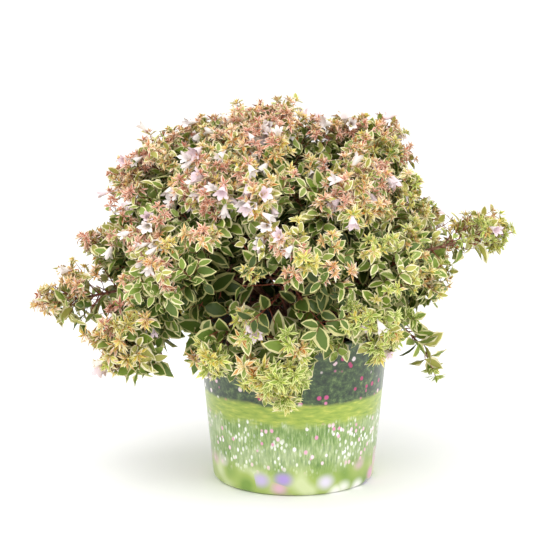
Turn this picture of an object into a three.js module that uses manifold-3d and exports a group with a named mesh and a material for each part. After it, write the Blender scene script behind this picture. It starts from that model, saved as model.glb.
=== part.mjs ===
// A variegated glossy abelia in its nursery pot: a short stool of stems, arching boughs, and a
// dome of leafy masses that hangs over the pot's rim. Millimetres, +Z up, origin at the middle
// of the pot's flat underside. +X is the shrub's long right-hand branch, -Y its front.
import * as THREE from "three";
import { mergeVertices } from "three/addons/utils/BufferGeometryUtils.js";
import Module from "manifold-3d";

const wasm = await Module();
wasm.setup();

// Pot: a tapered three-litre nursery pot
const POT_HEIGHT = 153;
const POT_RIM_RADIUS = 95;
const POT_BASE_RADIUS = 80;
const POT_WALL = 1.8;
const POT_HEEL = 6;
const POT_LIP = { width: 1.2, height: 3.5 };
const POT_SIDES = 28;
const DRAIN = { holes: 6, radius: 5, ring: 52, sides: 8 };

// Potting soil: fills the pot to a little under its rim
const SOIL_DROP = 22;
const SOIL_MOUND = 4;
const SOIL_FLAT = 26;

// Clearances between neighbouring solids
const SEAT_GAP = 0.3;
const SPACE_MARGIN = 0.3;

// Stool: the short stem that all the boughs rise from
const STOOL = { height: 32, flare: 16, waist: 10.5, top: 11.5, lean: 2, sides: 8 };

// Boughs: the main ones rise from the stool, the side ones from a main one
const MAIN_BOUGH = { base: 3.1, tip: 2.1 };
const SIDE_BOUGH = { base: 2.3, tip: 1.9 };
const BOUGH_SIDES = 4;
const BOUGH_STEPS = 4;
const FORK_FIRST = 0.42;
const FORK_STEP = 0.2;
const ENTRY_FIRST = 0.2;

// Growth inside a mass, larger than life: each leaf stands for a small spray. A mass narrower than
// NARROW bears smaller leaves in proportion.
const STEM_TIP = 1.3;
const STEM_SHARE = 0.6;
const TWIG = { base: 1.1, tip: 0.9, inset: 1, shortest: 9, branched: 22 };
const TWIG_NODES = [0.1, 0.3, 0.52, 0.74, 0.96];
const LEAF = { length: 56, width: 38, thick: 2, widest: 0.48, droop: 0.12, inset: 0.4 };
const LEAF_FACING = { outward: 1, upward: 0.4, stray: 1 };
const BLOSSOM = { length: 17, radius: 8.5, lobes: 5 };
const LEAF_NODES = [0.85, 0.4];
const NARROW = 116;
const NARROWEST = 5;
const LEAF_ANGLE = 58;
const INWARD = -0.35;
const BLOOM = 0.12;
const CORE_SHARE = 0.66;
const SHRINK = 0.84;
const ROOT_SHARED = 4;
const CROSSING = 0.3;

const SEED = 20417;
const UP = new THREE.Vector3(0, 0, 1);
const CROWN_HEART = new THREE.Vector3(-10, 0, 185);
const DEGREE = Math.PI / 180;

const MATERIALS = {
  pot: new THREE.MeshStandardMaterial({ color: 0x9bb54a, roughness: 0.4, metalness: 0 }),
  soil: new THREE.MeshStandardMaterial({ color: 0x2a2019, roughness: 1, metalness: 0 }),
  bark: new THREE.MeshStandardMaterial({ color: 0x5a3226, roughness: 0.75, metalness: 0 }),
  foliage: new THREE.MeshStandardMaterial({ color: 0xa9a268, roughness: 0.5, metalness: 0 }),
};

// A mass's outline from beside it: 2 is an ellipse, and more is squarer
const BLOCK_POWER = 3;

// Level rings of masses. The crown leans left, so reach and height swing with the azimuth, which
// is measured from +X towards +Y; the lean is taken off on the right and added on the left.
const RINGS = [
  {
    prefix: "crown",
    reach: 80,
    reachLean: 10,
    height: 359,
    heightLean: 0,
    pitch: 76,
    length: 124,
    width: 134,
    dense: true,
    main: true,
    azimuths: { right: 4, left_back: 128, front_left: 226 },
  },
  {
    prefix: "upper",
    reach: 140,
    reachLean: 20,
    height: 313,
    heightLean: 10,
    pitch: 42,
    length: 132,
    width: 132,
    dense: true,
    main: false,
    azimuths: {
      right: 351,
      back_right: 46,
      back: 97,
      left_back: 147,
      left: 188,
      front_left: 240,
      front_right: 295,
    },
  },
  {
    prefix: "middle",
    reach: 184,
    reachLean: 24,
    height: 233,
    heightLean: 4,
    pitch: 8,
    length: 134,
    width: 136,
    dense: true,
    main: true,
    azimuths: {
      right: 14,
      back_right: 52,
      back: 95,
      left_back: 140,
      left: 183,
      front_left: 226,
      front: 268,
      front_right: 312,
    },
  },
];

// Masses that have a place of their own in the outline, sprays that reach out or hang down: name,
// azimuth, reach, height, pitch, length and width
const SPRAYS = [
  ["crown_top", 180, 33, 378, 84, 122, 126, { dense: true, main: true }],
  ["spray_right_long", 351, 215, 251, 10, 128, 60, { main: true }],
  ["spray_left_long", 186, 257, 178, -6, 140, 76],
  ["hanging_left", 201, 202, 129, -32, 130, 96],
  ["hanging_front_left", 238, 154, 134, -46, 106, 90],
  ["hanging_front", 264, 135, 102, -70, 114, 74],
  ["hanging_front_right", 303, 148, 153, -40, 110, 96],
  ["hanging_right", 352, 142, 104, -70, 124, 58],
  ["hanging_back_right", 56, 154, 142, -50, 112, 110],
  ["hanging_back_left", 118, 170, 124, -50, 122, 122],
];

// The same number from 0 up to 1 for the same keys, whatever the order of the calls.
function deal(...keys) {
  let h = SEED;
  for (const key of keys) {
    h = Math.imul(h ^ (key + 0x7f4a7c15), 0x85ebca6b);
    h ^= h >>> 13;
    h = Math.imul(h, 0xc2b2ae35);
    h ^= h >>> 16;
  }
  return (h >>> 0) / 4294967296;
}

// A number dealt evenly from -size to +size.
function jitter(size, ...keys) {
  return (deal(...keys) * 2 - 1) * size;
}

function aimed(azimuth, pitch) {
  const level = Math.cos(pitch * DEGREE);
  return new THREE.Vector3(
    level * Math.cos(azimuth * DEGREE),
    level * Math.sin(azimuth * DEGREE),
    Math.sin(pitch * DEGREE),
  );
}

function solidOf(geometry) {
  const bare = new THREE.BufferGeometry()
    .setAttribute("position", geometry.getAttribute("position"))
    .setIndex(geometry.index);
  const merged = mergeVertices(bare, 1e-4);
  return new wasm.Manifold(
    new wasm.Mesh({
      numProp: 3,
      vertProperties: new Float32Array(merged.attributes.position.array),
      triVerts: new Uint32Array(merged.index.array),
    }),
  );
}

function geometryOf(solid) {
  const mesh = solid.getMesh();
  const positions = new Float32Array(mesh.numVert * 3);
  for (let i = 0; i < mesh.numVert; i++)
    positions.set(mesh.vertProperties.subarray(i * mesh.numProp, i * mesh.numProp + 3), i * 3);
  const geometry = new THREE.BufferGeometry()
    .setAttribute("position", new THREE.BufferAttribute(positions, 3))
    .setIndex(new THREE.BufferAttribute(mesh.triVerts, 1));
  geometry.computeVertexNormals();
  return geometry;
}

// Keeps the one body of a fused solid: loose scraps go, and a hollow that fusing sealed is filled.
function oneBody(solid) {
  const bodies = solid.decompose();
  return bodies.reduce((best, body) => (body.volume() > best.volume() ? body : best));
}

function fused(solids) {
  return oneBody(solids.reduce((all, solid) => all.add(solid)));
}

// Turns a profile of [radius, height] points about the Z axis.
function turned(points, sides) {
  return new THREE.LatheGeometry(
    points.map(([radius, height]) => new THREE.Vector2(radius, height)),
    sides,
  ).rotateX(Math.PI / 2);
}

function potRadiusAt(height) {
  return POT_BASE_RADIUS + ((POT_RIM_RADIUS - POT_BASE_RADIUS) * height) / POT_HEIGHT;
}

function heelArc(inset, steps) {
  const centre = [potRadiusAt(POT_HEEL) - POT_HEEL, POT_HEEL];
  const radius = POT_HEEL - inset;
  return Array.from({ length: steps + 1 }, (_, i) => {
    const turn = (Math.PI / 2) * (i / steps - 1);
    return [centre[0] + radius * Math.cos(turn), centre[1] + radius * Math.sin(turn)];
  });
}

function potSolid() {
  const lipFoot = POT_HEIGHT - POT_LIP.height;
  const outside = [
    [0, 0],
    ...heelArc(0, 2),
    [potRadiusAt(lipFoot), lipFoot],
    [potRadiusAt(lipFoot) + POT_LIP.width, lipFoot],
    [POT_RIM_RADIUS + POT_LIP.width, POT_HEIGHT],
  ];
  const inside = [
    [POT_RIM_RADIUS - POT_WALL, POT_HEIGHT],
    ...heelArc(POT_WALL, 2).reverse(),
    [0, POT_WALL],
  ];
  const shell = solidOf(turned([...outside, ...inside], POT_SIDES));
  return Array.from({ length: DRAIN.holes }, (_, i) => (i * 2 * Math.PI) / DRAIN.holes).reduce(
    (pot, turn) =>
      pot.subtract(
        solidOf(
          new THREE.CylinderGeometry(DRAIN.radius, DRAIN.radius, 4 * POT_WALL, DRAIN.sides)
            .rotateX(Math.PI / 2)
            .translate(DRAIN.ring * Math.cos(turn), DRAIN.ring * Math.sin(turn), 0),
        ),
      ),
    shell,
  );
}

const SOIL_TOP = POT_HEIGHT - SOIL_DROP;

function soilSolid() {
  const clear = POT_WALL + SEAT_GAP;
  return solidOf(
    turned(
      [
        [0, clear],
        ...heelArc(clear, 1),
        [potRadiusAt(SOIL_TOP - SOIL_MOUND) - clear, SOIL_TOP - SOIL_MOUND],
        [SOIL_FLAT, SOIL_TOP],
        [0, SOIL_TOP],
      ],
      POT_SIDES,
    ),
  );
}

// The stool leans as it rises, so each ring of the turned profile moves over by its height.
function stoolGeometry(grown = 0) {
  const foot = SOIL_TOP + SEAT_GAP;
  const geometry = turned(
    [
      [0, -grown],
      [STOOL.flare + grown, -grown],
      [STOOL.waist + grown, STOOL.height * 0.3],
      [STOOL.top + grown, STOOL.height * 0.8],
      [STOOL.top * 0.7 + grown, STOOL.height + grown],
      [0, STOOL.height + grown],
    ],
    STOOL.sides,
  );
  const place = geometry.getAttribute("position");
  for (let i = 0; i < place.count; i++)
    place.setX(i, place.getX(i) - (STOOL.lean * place.getZ(i)) / STOOL.height);
  return geometry.translate(0, 0, foot);
}

// Points and frames along part of a path, with the frame carried on from one point to the next.
function framesAlong(path, from, to, steps) {
  const frames = [];
  let side = null;
  for (let i = 0; i <= steps; i++) {
    const t = from + ((to - from) * i) / steps;
    const point = path.getPoint(t);
    const along = path.getTangent(t);
    const start = side ?? (Math.abs(along.z) > 0.9 ? new THREE.Vector3(1, 0, 0) : UP);
    side = start.clone().addScaledVector(along, -start.dot(along)).normalize();
    frames.push({ point, along, side: side.clone(), other: side.clone().cross(along) });
  }
  return frames;
}

// A tapering limb: a closed cylinder bent along part of a path.
function limbGeometry({ path, from, to, base, tip, sides, steps }) {
  const geometry = new THREE.CylinderGeometry(1, 1, 1, sides, steps);
  const frames = framesAlong(path, from, to, steps);
  const place = geometry.getAttribute("position");
  for (let i = 0; i < place.count; i++) {
    const share = place.getY(i) + 0.5;
    const frame = frames[Math.round(share * steps)];
    const radius = base + (tip - base) * share;
    const at = frame.point
      .clone()
      .addScaledVector(frame.side, radius * place.getX(i))
      .addScaledVector(frame.other, radius * place.getZ(i));
    place.setXYZ(i, at.x, at.y, at.z);
  }
  return geometry;
}

// A leaf of six faces: a pointed blade with a keel, widest near its root, its tip bent down.
function leafGeometry(root, along, facing, length, width) {
  const geometry = new THREE.SphereGeometry(1, 3, 2);
  const place = geometry.getAttribute("position");
  const across = along.clone().cross(facing);
  for (let i = 0; i < place.count; i++) {
    const [x, y, z] = [place.getX(i), place.getY(i), place.getZ(i)];
    const at = root.clone();
    if (y > 0.5) at.addScaledVector(along, length).addScaledVector(facing, -LEAF.droop * length);
    else if (y > -0.5) {
      at.addScaledVector(along, LEAF.widest * length);
      if (x < -0.5) at.addScaledVector(facing, -LEAF.thick);
      else at.addScaledVector(across, (-Math.sign(z) * width) / 2);
    }
    place.setXYZ(i, at.x, at.y, at.z);
  }
  return geometry;
}

// A mass is a rounded block of growth behind its outermost tip, which looks along its growth.
function massFrom(spec) {
  const growth = aimed(spec.azimuth, spec.pitch);
  const tip = aimed(spec.azimuth, 0).multiplyScalar(spec.reach).setZ(spec.height);
  const centre = tip.clone().addScaledVector(growth, -spec.length / 2);
  return {
    ...spec,
    growth,
    tip,
    centre,
    halfLength: spec.length / 2,
    halfWidth: spec.width / 2,
    leafSize: Math.min(1, spec.width / NARROW),
  };
}

function ringMasses(ring) {
  return Object.entries(ring.azimuths).map(([where, azimuth]) => {
    const lean = -Math.cos(azimuth * DEGREE);
    return massFrom({
      ...ring,
      name: `${ring.prefix}_${where}`,
      azimuth,
      reach: ring.reach + ring.reachLean * lean,
      height: ring.height + ring.heightLean * lean,
    });
  });
}

function sprayMass([name, azimuth, reach, height, pitch, length, width, more]) {
  return massFrom({ name, azimuth, reach, height, pitch, length, width, ...more });
}

const masses = [...RINGS.flatMap(ringMasses), ...SPRAYS.map(sprayMass)];
masses.forEach((mass, index) => (mass.index = index));

// How far out a point lies in a mass's rounded block: 0 at its centre, 1 on its surface.
function depthIn(mass, point) {
  const offset = point.clone().sub(mass.centre);
  const along = offset.dot(mass.growth);
  const across = offset.addScaledVector(mass.growth, -along).length();
  const far = [Math.abs(along) / mass.halfLength, across / mass.halfWidth];
  return (far[0] ** BLOCK_POWER + far[1] ** BLOCK_POWER) ** (1 / BLOCK_POWER);
}

// How far past the plane that two masses share a point lies, on the first one's side. The plane
// stands where the two blocks' reach towards each other is in proportion.
function sideOfPlane(mass, other, point) {
  const gap = other.centre.clone().sub(mass.centre);
  const distance = gap.length();
  const share = mass.halfWidth / (mass.halfWidth + other.halfWidth);
  return distance * share - point.clone().sub(mass.centre).dot(gap) / distance;
}

// A mass's own space: within its block, and on its side of the plane to each other mass.
function inSpace(mass, point, margin = SPACE_MARGIN) {
  return (
    depthIn(mass, point) <= 1 &&
    masses.every((other) => other === mass || sideOfPlane(mass, other, point) >= margin)
  );
}

function allInSpace(mass, geometry) {
  const place = geometry.getAttribute("position");
  const point = new THREE.Vector3();
  for (let i = 0; i < place.count; i++)
    if (!inSpace(mass, point.fromBufferAttribute(place, i))) return false;
  return true;
}

// Limbs: one path for each mass, from its root to its tip. The bough is the part before the
// mass's space and the stem is the part inside it.
function stoolRoot(mass, order) {
  const upright = mass.name.startsWith("crown");
  const rise = upright ? STOOL.height * 0.9 : STOOL.height * (0.42 + (0.3 * (order % 3)) / 2);
  const out = mass.name === "crown_top" ? 0 : upright ? STOOL.top * 0.62 : 2;
  return aimed(mass.azimuth, 0)
    .multiplyScalar(out)
    .add(new THREE.Vector3(-(STOOL.lean * rise) / STOOL.height, 0, SOIL_TOP + SEAT_GAP + rise));
}

function limbPath(mass, root, first) {
  const span = root.distanceTo(mass.tip);
  return new THREE.CubicBezierCurve3(
    root,
    root.clone().addScaledVector(first, span * 0.36),
    mass.tip.clone().addScaledVector(mass.growth, -Math.min(mass.length * 0.8, span * 0.55)),
    mass.tip,
  );
}

// The share of the path at which it is in the mass's space for good, and well clear of its fork.
function entryOf(mass) {
  const samples = 200;
  let entry = 1;
  for (let i = samples; i > 0; i--) {
    const t = i / samples;
    if (t < 0.97 && !inSpace(mass, mass.path.getPoint(t), 3)) break;
    entry = t;
  }
  return Math.max(entry, ENTRY_FIRST);
}

const mains = masses.filter((mass) => mass.main);
mains.forEach((mass, order) => {
  const root = stoolRoot(mass, order);
  const lift = mass.name.startsWith("crown") ? 84 : 48;
  mass.path = limbPath(mass, root, aimed(mass.azimuth, lift));
  mass.entry = entryOf(mass);
});
const children = new Map();
masses
  .filter((mass) => !mass.main)
  .forEach((mass) => {
    mass.parent = mains.reduce((best, other) =>
      other.tip.distanceTo(mass.tip) < best.tip.distanceTo(mass.tip) ? other : best,
    );
    const order = children.get(mass.parent) ?? 0;
    children.set(mass.parent, order + 1);
    const t = mass.parent.entry * (FORK_FIRST + FORK_STEP * order);
    const root = mass.parent.path.getPoint(t);
    const along = mass.parent.path.getTangent(t);
    const towards = mass.tip.clone().sub(root).normalize();
    const first = towards.addScaledVector(along, 0.5).addScaledVector(UP, 0.25).normalize();
    mass.path = limbPath(mass, root, first);
  });
masses.forEach((mass) => {
  mass.entry = entryOf(mass);
  mass.bough = mass.main ? MAIN_BOUGH : SIDE_BOUGH;
});

function boughGeometry(mass, grown = 0) {
  return limbGeometry({
    path: mass.path,
    from: 0,
    to: mass.entry,
    base: mass.bough.base + grown,
    tip: mass.bough.tip + grown,
    sides: BOUGH_SIDES,
    steps: BOUGH_STEPS,
  });
}

// How far a ray from a point inside a mass's space runs before it leaves it.
function runTo(mass, point, along) {
  let low = 0;
  let high = mass.length;
  for (let i = 0; i < 16; i++) {
    const middle = (low + high) / 2;
    if (inSpace(mass, point.clone().addScaledVector(along, middle))) low = middle;
    else high = middle;
  }
  return low;
}

// Two directions that leave a frame on opposite sides, at an angle to its path.
function pairOf(frame, spin, angle) {
  return [0, Math.PI].map((half) => {
    const turn = spin + half;
    return frame.along
      .clone()
      .multiplyScalar(Math.cos(angle))
      .addScaledVector(frame.side, Math.cos(turn) * Math.sin(angle))
      .addScaledVector(frame.other, Math.sin(turn) * Math.sin(angle))
      .normalize();
  });
}

// A leaf faces out of the crown and a little up, square to its own length.
function facingOf(root, along, key = 0) {
  const wanted = root.clone().sub(CROWN_HEART).setLength(LEAF_FACING.outward);
  wanted.addScaledVector(UP, LEAF_FACING.upward);
  const place = Math.round(root.x * 8);
  const [x, y, z] = [1, 2, 3].map((axis) => jitter(LEAF_FACING.stray, place, key, axis));
  wanted.add(new THREE.Vector3(x, y, z));
  return wanted.addScaledVector(along, -wanted.dot(along)).normalize();
}

// A three-sided shoot that ends in its own leaf: a ring at each point of its way, with two upper
// edges and a keel, then a ring at the leaf's widest, and the leaf's tip.
function shootGeometry({ way, facing, base, tip, length, width }) {
  const geometry = new THREE.CylinderGeometry(0, 1, 1, 3, way.length + 1);
  const place = geometry.getAttribute("position");
  const end = way[way.length - 1];
  for (let i = 0; i < place.count; i++) {
    const [x, z] = [place.getX(i), place.getZ(i)];
    const ring = Math.round((place.getY(i) + 0.5) * (way.length + 1));
    const { point, along } = way[Math.min(ring, way.length - 1)];
    const up = facing.clone().addScaledVector(along, -facing.dot(along)).normalize();
    const across = along.clone().cross(up);
    const at = point.clone();
    if (ring < way.length) {
      const radius = base + ((tip - base) * ring) / (way.length - 1);
      const spread = Math.hypot(x, z) > 1e-6 ? radius : 0;
      const turn = Math.atan2(x, z);
      at.addScaledVector(up, -spread * Math.cos(turn)).addScaledVector(across, -spread * Math.sin(turn));
    } else if (ring === way.length) {
      at.addScaledVector(end.along, LEAF.widest * length);
      if (Math.abs(x) > 1e-6) at.addScaledVector(across, (-Math.sign(x) * width) / 2);
      else at.addScaledVector(up, -LEAF.thick);
    } else {
      at.addScaledVector(end.along, length).addScaledVector(up, -LEAF.droop * length);
    }
    place.setXYZ(i, at.x, at.y, at.z);
  }
  return geometry;
}

// A trumpet of five sides that opens away from its twig.
function blossomGeometry(root, along) {
  const turn = new THREE.Quaternion().setFromUnitVectors(new THREE.Vector3(0, -1, 0), along);
  return new THREE.ConeGeometry(BLOSSOM.radius, BLOSSOM.length, BLOSSOM.lobes)
    .translate(0, -BLOSSOM.length / 2, 0)
    .applyQuaternion(turn)
    .translate(root.x, root.y, root.z);
}

// Makes a piece at full size, then smaller, until it keeps to its mass's space, clear of all the
// obstacles and, a little out from its root, of its neighbours; null where even the smallest
// would not.
function fitted({ mass, obstacles, neighbours, tries, along, make }) {
  for (let i = 0, size = 1; i < tries; i++, size *= SHRINK) {
    const geometry = make(size);
    if (!allInSpace(mass, geometry)) continue;
    const solid = solidOf(geometry);
    if (touchesAny(solid, obstacles)) continue;
    const ahead = along.clone().multiplyScalar(ROOT_SHARED).toArray();
    if (touchesAny(solid.translate(ahead), neighbours, CROSSING)) continue;
    return { solid, box: solid.boundingBox() };
  }
  return null;
}

// The dark middle of a dense mass: a rough ball that keeps to the mass's space.
function coreGeometry(mass) {
  const geometry = new THREE.IcosahedronGeometry(1, 0);
  const place = geometry.getAttribute("position");
  const growth = new THREE.Quaternion().setFromUnitVectors(UP, mass.growth);
  const middle = mass.centre;
  for (let i = 0; i < place.count; i++) {
    const unit = new THREE.Vector3().fromBufferAttribute(place, i);
    const rough = 0.9 + 0.1 * Math.sin(5 * unit.x + 3 * unit.y + 4 * unit.z + mass.index);
    const size = CORE_SHARE * rough;
    const arm = unit
      .clone()
      .multiply(new THREE.Vector3(mass.halfWidth, mass.halfWidth, mass.halfLength))
      .multiplyScalar(size)
      .applyQuaternion(growth);
    let share = 1;
    while (share > 0.1 && !inSpace(mass, middle.clone().addScaledVector(arm, share), 1)) share -= 0.02;
    const at = middle.clone().addScaledVector(arm, share);
    place.setXYZ(i, at.x, at.y, at.z);
  }
  return geometry;
}

function boxesMeet(a, b) {
  return a.min.every((low, axis) => low <= b.max[axis] && b.min[axis] <= a.max[axis]);
}

// The solids among the obstacles whose boxes meet a solid's own.
function meeting(solid, obstacles) {
  const box = solid.boundingBox();
  return obstacles.filter((other) => boxesMeet(box, other.box)).map((other) => other.solid);
}

// Whether a solid shares more than a given volume with any of the obstacles.
function touchesAny(solid, obstacles, shared = 0) {
  return meeting(solid, obstacles).some((obstacle) => solid.intersect(obstacle).volume() > shared);
}

// One mass: the stem that goes on from its bough, twigs in crossed pairs, and leaves in pairs.
// Twigs that point back into the crown aren't grown, and no leaf crosses another piece.
function grownMass(mass, obstacles) {
  const span = mass.path.getLength();
  const from = mass.entry + SEAT_GAP / span;
  const to = from + (1 - from) * STEM_SHARE;
  const outward = mass.centre.clone().sub(CROWN_HEART).normalize();

  // The stem goes on from its bough and ends in a leaf at the mass's outermost point, which is as
  // wide as the limbs near it allow.
  const way = framesAlong(mass.path, from, to, 2);
  const reach = mass.tip.clone().sub(way[2].point);
  way[2].along = reach.clone().normalize();
  const upward = facingOf(way[2].point, way[2].along);
  way[2].along.addScaledVector(upward, LEAF.droop).normalize();
  const stemWith = (width) =>
    solidOf(
      shootGeometry({
        way,
        facing: facingOf(way[2].point, way[2].along),
        base: mass.bough.tip,
        tip: STEM_TIP,
        length: reach.length(),
        width,
      }),
    );
  const others = obstacles.filter((obstacle) => obstacle.of !== mass);
  let width = LEAF.width * mass.leafSize * 0.9;
  while (width > NARROWEST && touchesAny(stemWith(width), others)) width *= SHRINK;
  const solids = [stemWith(width)];
  const taken = [];
  if (mass.dense) {
    const core = solidOf(coreGeometry(mass));
    solids.push(obstacles.reduce((left, obstacle) => left.subtract(obstacle.solid), core));
  }

  const twigs = [];
  TWIG_NODES.forEach((share, node) => {
    const [frame] = framesAlong(mass.path, from + (to - from) * share, to, 1);
    const spin = (node * Math.PI) / 2 + 0.5 + jitter(0.3, mass.index, node, 1);
    pairOf(frame, spin, (68 - 9 * node) * DEGREE).forEach((along, side) => {
      if (along.dot(outward) < INWARD) return;
      const key = node * 2 + side;
      const run = runTo(mass, frame.point, along);
      const facing = facingOf(frame.point, along, key);
      let bare = 0;
      const make = (size) => {
        const grown = size * mass.leafSize * (0.9 + 0.2 * deal(mass.index, key, 2));
        bare = Math.max(run * size - LEAF.length * grown * 0.99, TWIG.shortest * mass.leafSize);
        const root = frame.point.clone().addScaledVector(along, TWIG.inset);
        const end = frame.point.clone().addScaledVector(along, bare);
        return shootGeometry({
          way: [root, end].map((point) => ({ point, along })),
          facing,
          base: TWIG.base,
          tip: TWIG.tip,
          length: LEAF.length * grown,
          width: LEAF.width * grown,
        });
      };
      const piece = fitted({ mass, obstacles, neighbours: taken, tries: 5, along, make });
      if (!piece) return;
      solids.push(piece.solid);
      taken.push(piece);
      const other = facing.clone().cross(along);
      twigs.push({ key, point: frame.point, along, side: facing, other, bare });
    });
  });

  for (const twig of twigs) {
    LEAF_NODES.forEach((share, level) => {
      if (level > 0 && twig.bare < TWIG.branched * mass.leafSize) return;
      const point = twig.point.clone().addScaledVector(twig.along, twig.bare * share);
      const spin = Math.PI / 2 + level * 1.3 + jitter(0.4, mass.index, twig.key, level, 3);
      pairOf(twig, spin, LEAF_ANGLE * DEGREE).forEach((leafAlong, half) => {
        const root = point.clone().addScaledVector(leafAlong, LEAF.inset);
        const facing = facingOf(point, leafAlong, 20 + twig.key * 4 + level * 2 + half);
        const make = (size) => {
          const grown = size * mass.leafSize * (0.85 + 0.2 * deal(mass.index, twig.key, level, half, 4));
          return leafGeometry(root, leafAlong, facing, LEAF.length * grown, LEAF.width * grown);
        };
        const leaf = fitted({ mass, obstacles, neighbours: taken, tries: 4, along: leafAlong, make });
        if (!leaf) return;
        solids.push(leaf.solid);
        taken.push(leaf);
      });
    });
    if (deal(mass.index, twig.key, 6) < BLOOM) {
      const root = twig.point.clone().addScaledVector(twig.along, twig.bare * 0.8);
      const [up] = pairOf(twig, 0, 35 * DEGREE);
      const make = () => blossomGeometry(root, up);
      const blossom = fitted({ mass, obstacles, neighbours: taken, tries: 1, along: up, make });
      if (blossom) solids.push(blossom.solid);
    }
  }
  return fused(solids);
}

const group = new THREE.Group();

function place(name, solid, material) {
  const mesh = new THREE.Mesh(geometryOf(solid), MATERIALS[material]);
  mesh.name = name;
  group.add(mesh);
}

place("pot", potSolid(), "pot");
place("soil", soilSolid(), "soil");
const stool = solidOf(stoolGeometry());
const stoolGrown = solidOf(stoolGeometry(SEAT_GAP));
place("stool", stool, "bark");

// Each bough gives way to the stool and to the boughs placed before it, with the clearance.
const placed = [{ solid: stoolGrown, box: stoolGrown.boundingBox() }];
masses.forEach((mass) => {
  const whole = solidOf(boughGeometry(mass));
  const bough = oneBody(whole.subtract(wasm.Manifold.union(meeting(whole, placed))));
  const grown = solidOf(boughGeometry(mass, SEAT_GAP));
  placed.push({ solid: grown, box: grown.boundingBox() });
  place(`bough_${mass.name}`, bough, "bark");
});

const obstacles = masses.map((mass) => {
  const solid = solidOf(boughGeometry(mass, SEAT_GAP * 1.5));
  return { of: mass, solid, box: solid.boundingBox() };
});
const keepOut = solidOf(
  turned(
    [
      [0, -5],
      [potRadiusAt(0) + 3, -5],
      [POT_RIM_RADIUS + 4, POT_HEIGHT + 2],
      [0, POT_HEIGHT + 2],
    ],
    POT_SIDES,
  ),
);
obstacles.push({ of: null, solid: keepOut, box: keepOut.boundingBox() });

masses.forEach((mass) => place(`foliage_${mass.name}`, grownMass(mass, obstacles), "foliage"));

export default group;
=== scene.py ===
import functools
import math
from types import SimpleNamespace

import bpy
import numpy as np
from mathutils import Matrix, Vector, noise


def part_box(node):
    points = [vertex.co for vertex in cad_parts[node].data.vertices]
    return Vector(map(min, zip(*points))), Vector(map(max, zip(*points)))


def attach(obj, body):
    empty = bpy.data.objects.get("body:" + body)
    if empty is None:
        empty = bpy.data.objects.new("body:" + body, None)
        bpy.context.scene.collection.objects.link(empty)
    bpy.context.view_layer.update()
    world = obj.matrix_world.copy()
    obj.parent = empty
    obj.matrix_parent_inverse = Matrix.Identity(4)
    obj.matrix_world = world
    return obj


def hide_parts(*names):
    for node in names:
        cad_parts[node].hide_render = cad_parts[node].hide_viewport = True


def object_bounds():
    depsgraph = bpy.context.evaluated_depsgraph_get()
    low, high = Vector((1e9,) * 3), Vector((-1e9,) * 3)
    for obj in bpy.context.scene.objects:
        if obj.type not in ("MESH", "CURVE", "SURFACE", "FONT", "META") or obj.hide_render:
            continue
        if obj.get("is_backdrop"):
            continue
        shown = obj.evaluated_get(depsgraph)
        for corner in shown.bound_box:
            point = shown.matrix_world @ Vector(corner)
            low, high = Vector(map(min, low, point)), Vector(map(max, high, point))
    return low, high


bl_info = {
    "name": "Potted Glossy Abelia",
    "version": (1, 0, 0),
    "blender": (4, 5, 0),
    "location": "View3D > Sidebar > Abelia",
    "description": "Grows a variegated glossy abelia on its frame, in a printed nursery pot",
    "category": "Add Mesh",
}

# The frame, with the pot's underside at the origin. Sizes are metres, unless a table says millimetres.
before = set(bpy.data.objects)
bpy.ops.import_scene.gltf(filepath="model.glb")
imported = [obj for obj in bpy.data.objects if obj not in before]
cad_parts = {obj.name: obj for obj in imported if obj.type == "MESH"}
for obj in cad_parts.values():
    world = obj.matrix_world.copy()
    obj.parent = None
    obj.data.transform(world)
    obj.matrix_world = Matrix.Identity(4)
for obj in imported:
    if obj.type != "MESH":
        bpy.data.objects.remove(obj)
CAD_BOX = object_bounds()
BOX_LOW, BOX_HIGH = (np.array(corner) for corner in CAD_BOX)
BODY = "root"
MM = 0.001
DEGREE = math.pi / 180
UP = np.array([0.0, 0.0, 1.0])

# What the leaves of a tuft need past the end of their shoot, to stay inside the frame's box
TUFT_ROOM = np.array([9.0, 9.0, 13.0]) * MM

# Pot, soil and stool, as the frame has them, with the finer lip and the lumps that it leaves out
POT_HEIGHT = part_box("pot")[1].z
POT_RIM_RADIUS = 95 * MM
POT_BASE_RADIUS = 80 * MM
POT_WALL = 1.8 * MM
POT_HEEL = 6 * MM
POT_LIP = {"width": 1.2 * MM, "height": 3.5 * MM, "slope": 0.5 * MM, "round": 0.6 * MM}
POT_LEVELS = 14
DRAIN = {"holes": 6, "radius": 5 * MM, "ring": 52 * MM, "sides": 24}
SOIL_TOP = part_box("soil")[1].z
SOIL_MOUND = 4 * MM
# The soil's rings, how far out its top begins, and from where on that is flat. The rise of its lumps and
# how far they are sunk are millimetres.
SOIL_MESH = {"sides": 96, "wall": 6, "top": 24, "seam": 0.97, "flat_from": 0.985}
SOIL_LUMPS = {"size": 9 * MM, "rise": 1.6, "sunk": 1.2, "blend": 0.4 * MM}
CRUMB_OUTLINE = ((0.0, -0.8 * MM), (1.4 * MM, 0.0), (0.0, 0.9 * MM))
CRUMB_SIDES = 5
CRUMB_SIZES = {"Min": 0.4, "Max": 1.3}
SEAT_GAP = 0.3 * MM
STOOL = {"height": 32 * MM, "flare": 16 * MM, "waist": 10.5 * MM, "top": 11.5 * MM, "lean": 2 * MM}
STOOL_FOOT = {"sunk": 2 * MM, "spread": 1.1, "edge": 1 * MM}
STOOL_SIDES = 28
# The stool's outline above its foot: one of its radii, and shares of that and of its height
STOOL_OUTLINE = (
    ("waist", 1.12, 0.16),
    ("waist", 1, 0.32),
    ("waist", 1.02, 0.55),
    ("top", 1, 0.8),
    ("top", 0.86, 0.93),
    ("top", 0.5, 1),
)

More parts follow.
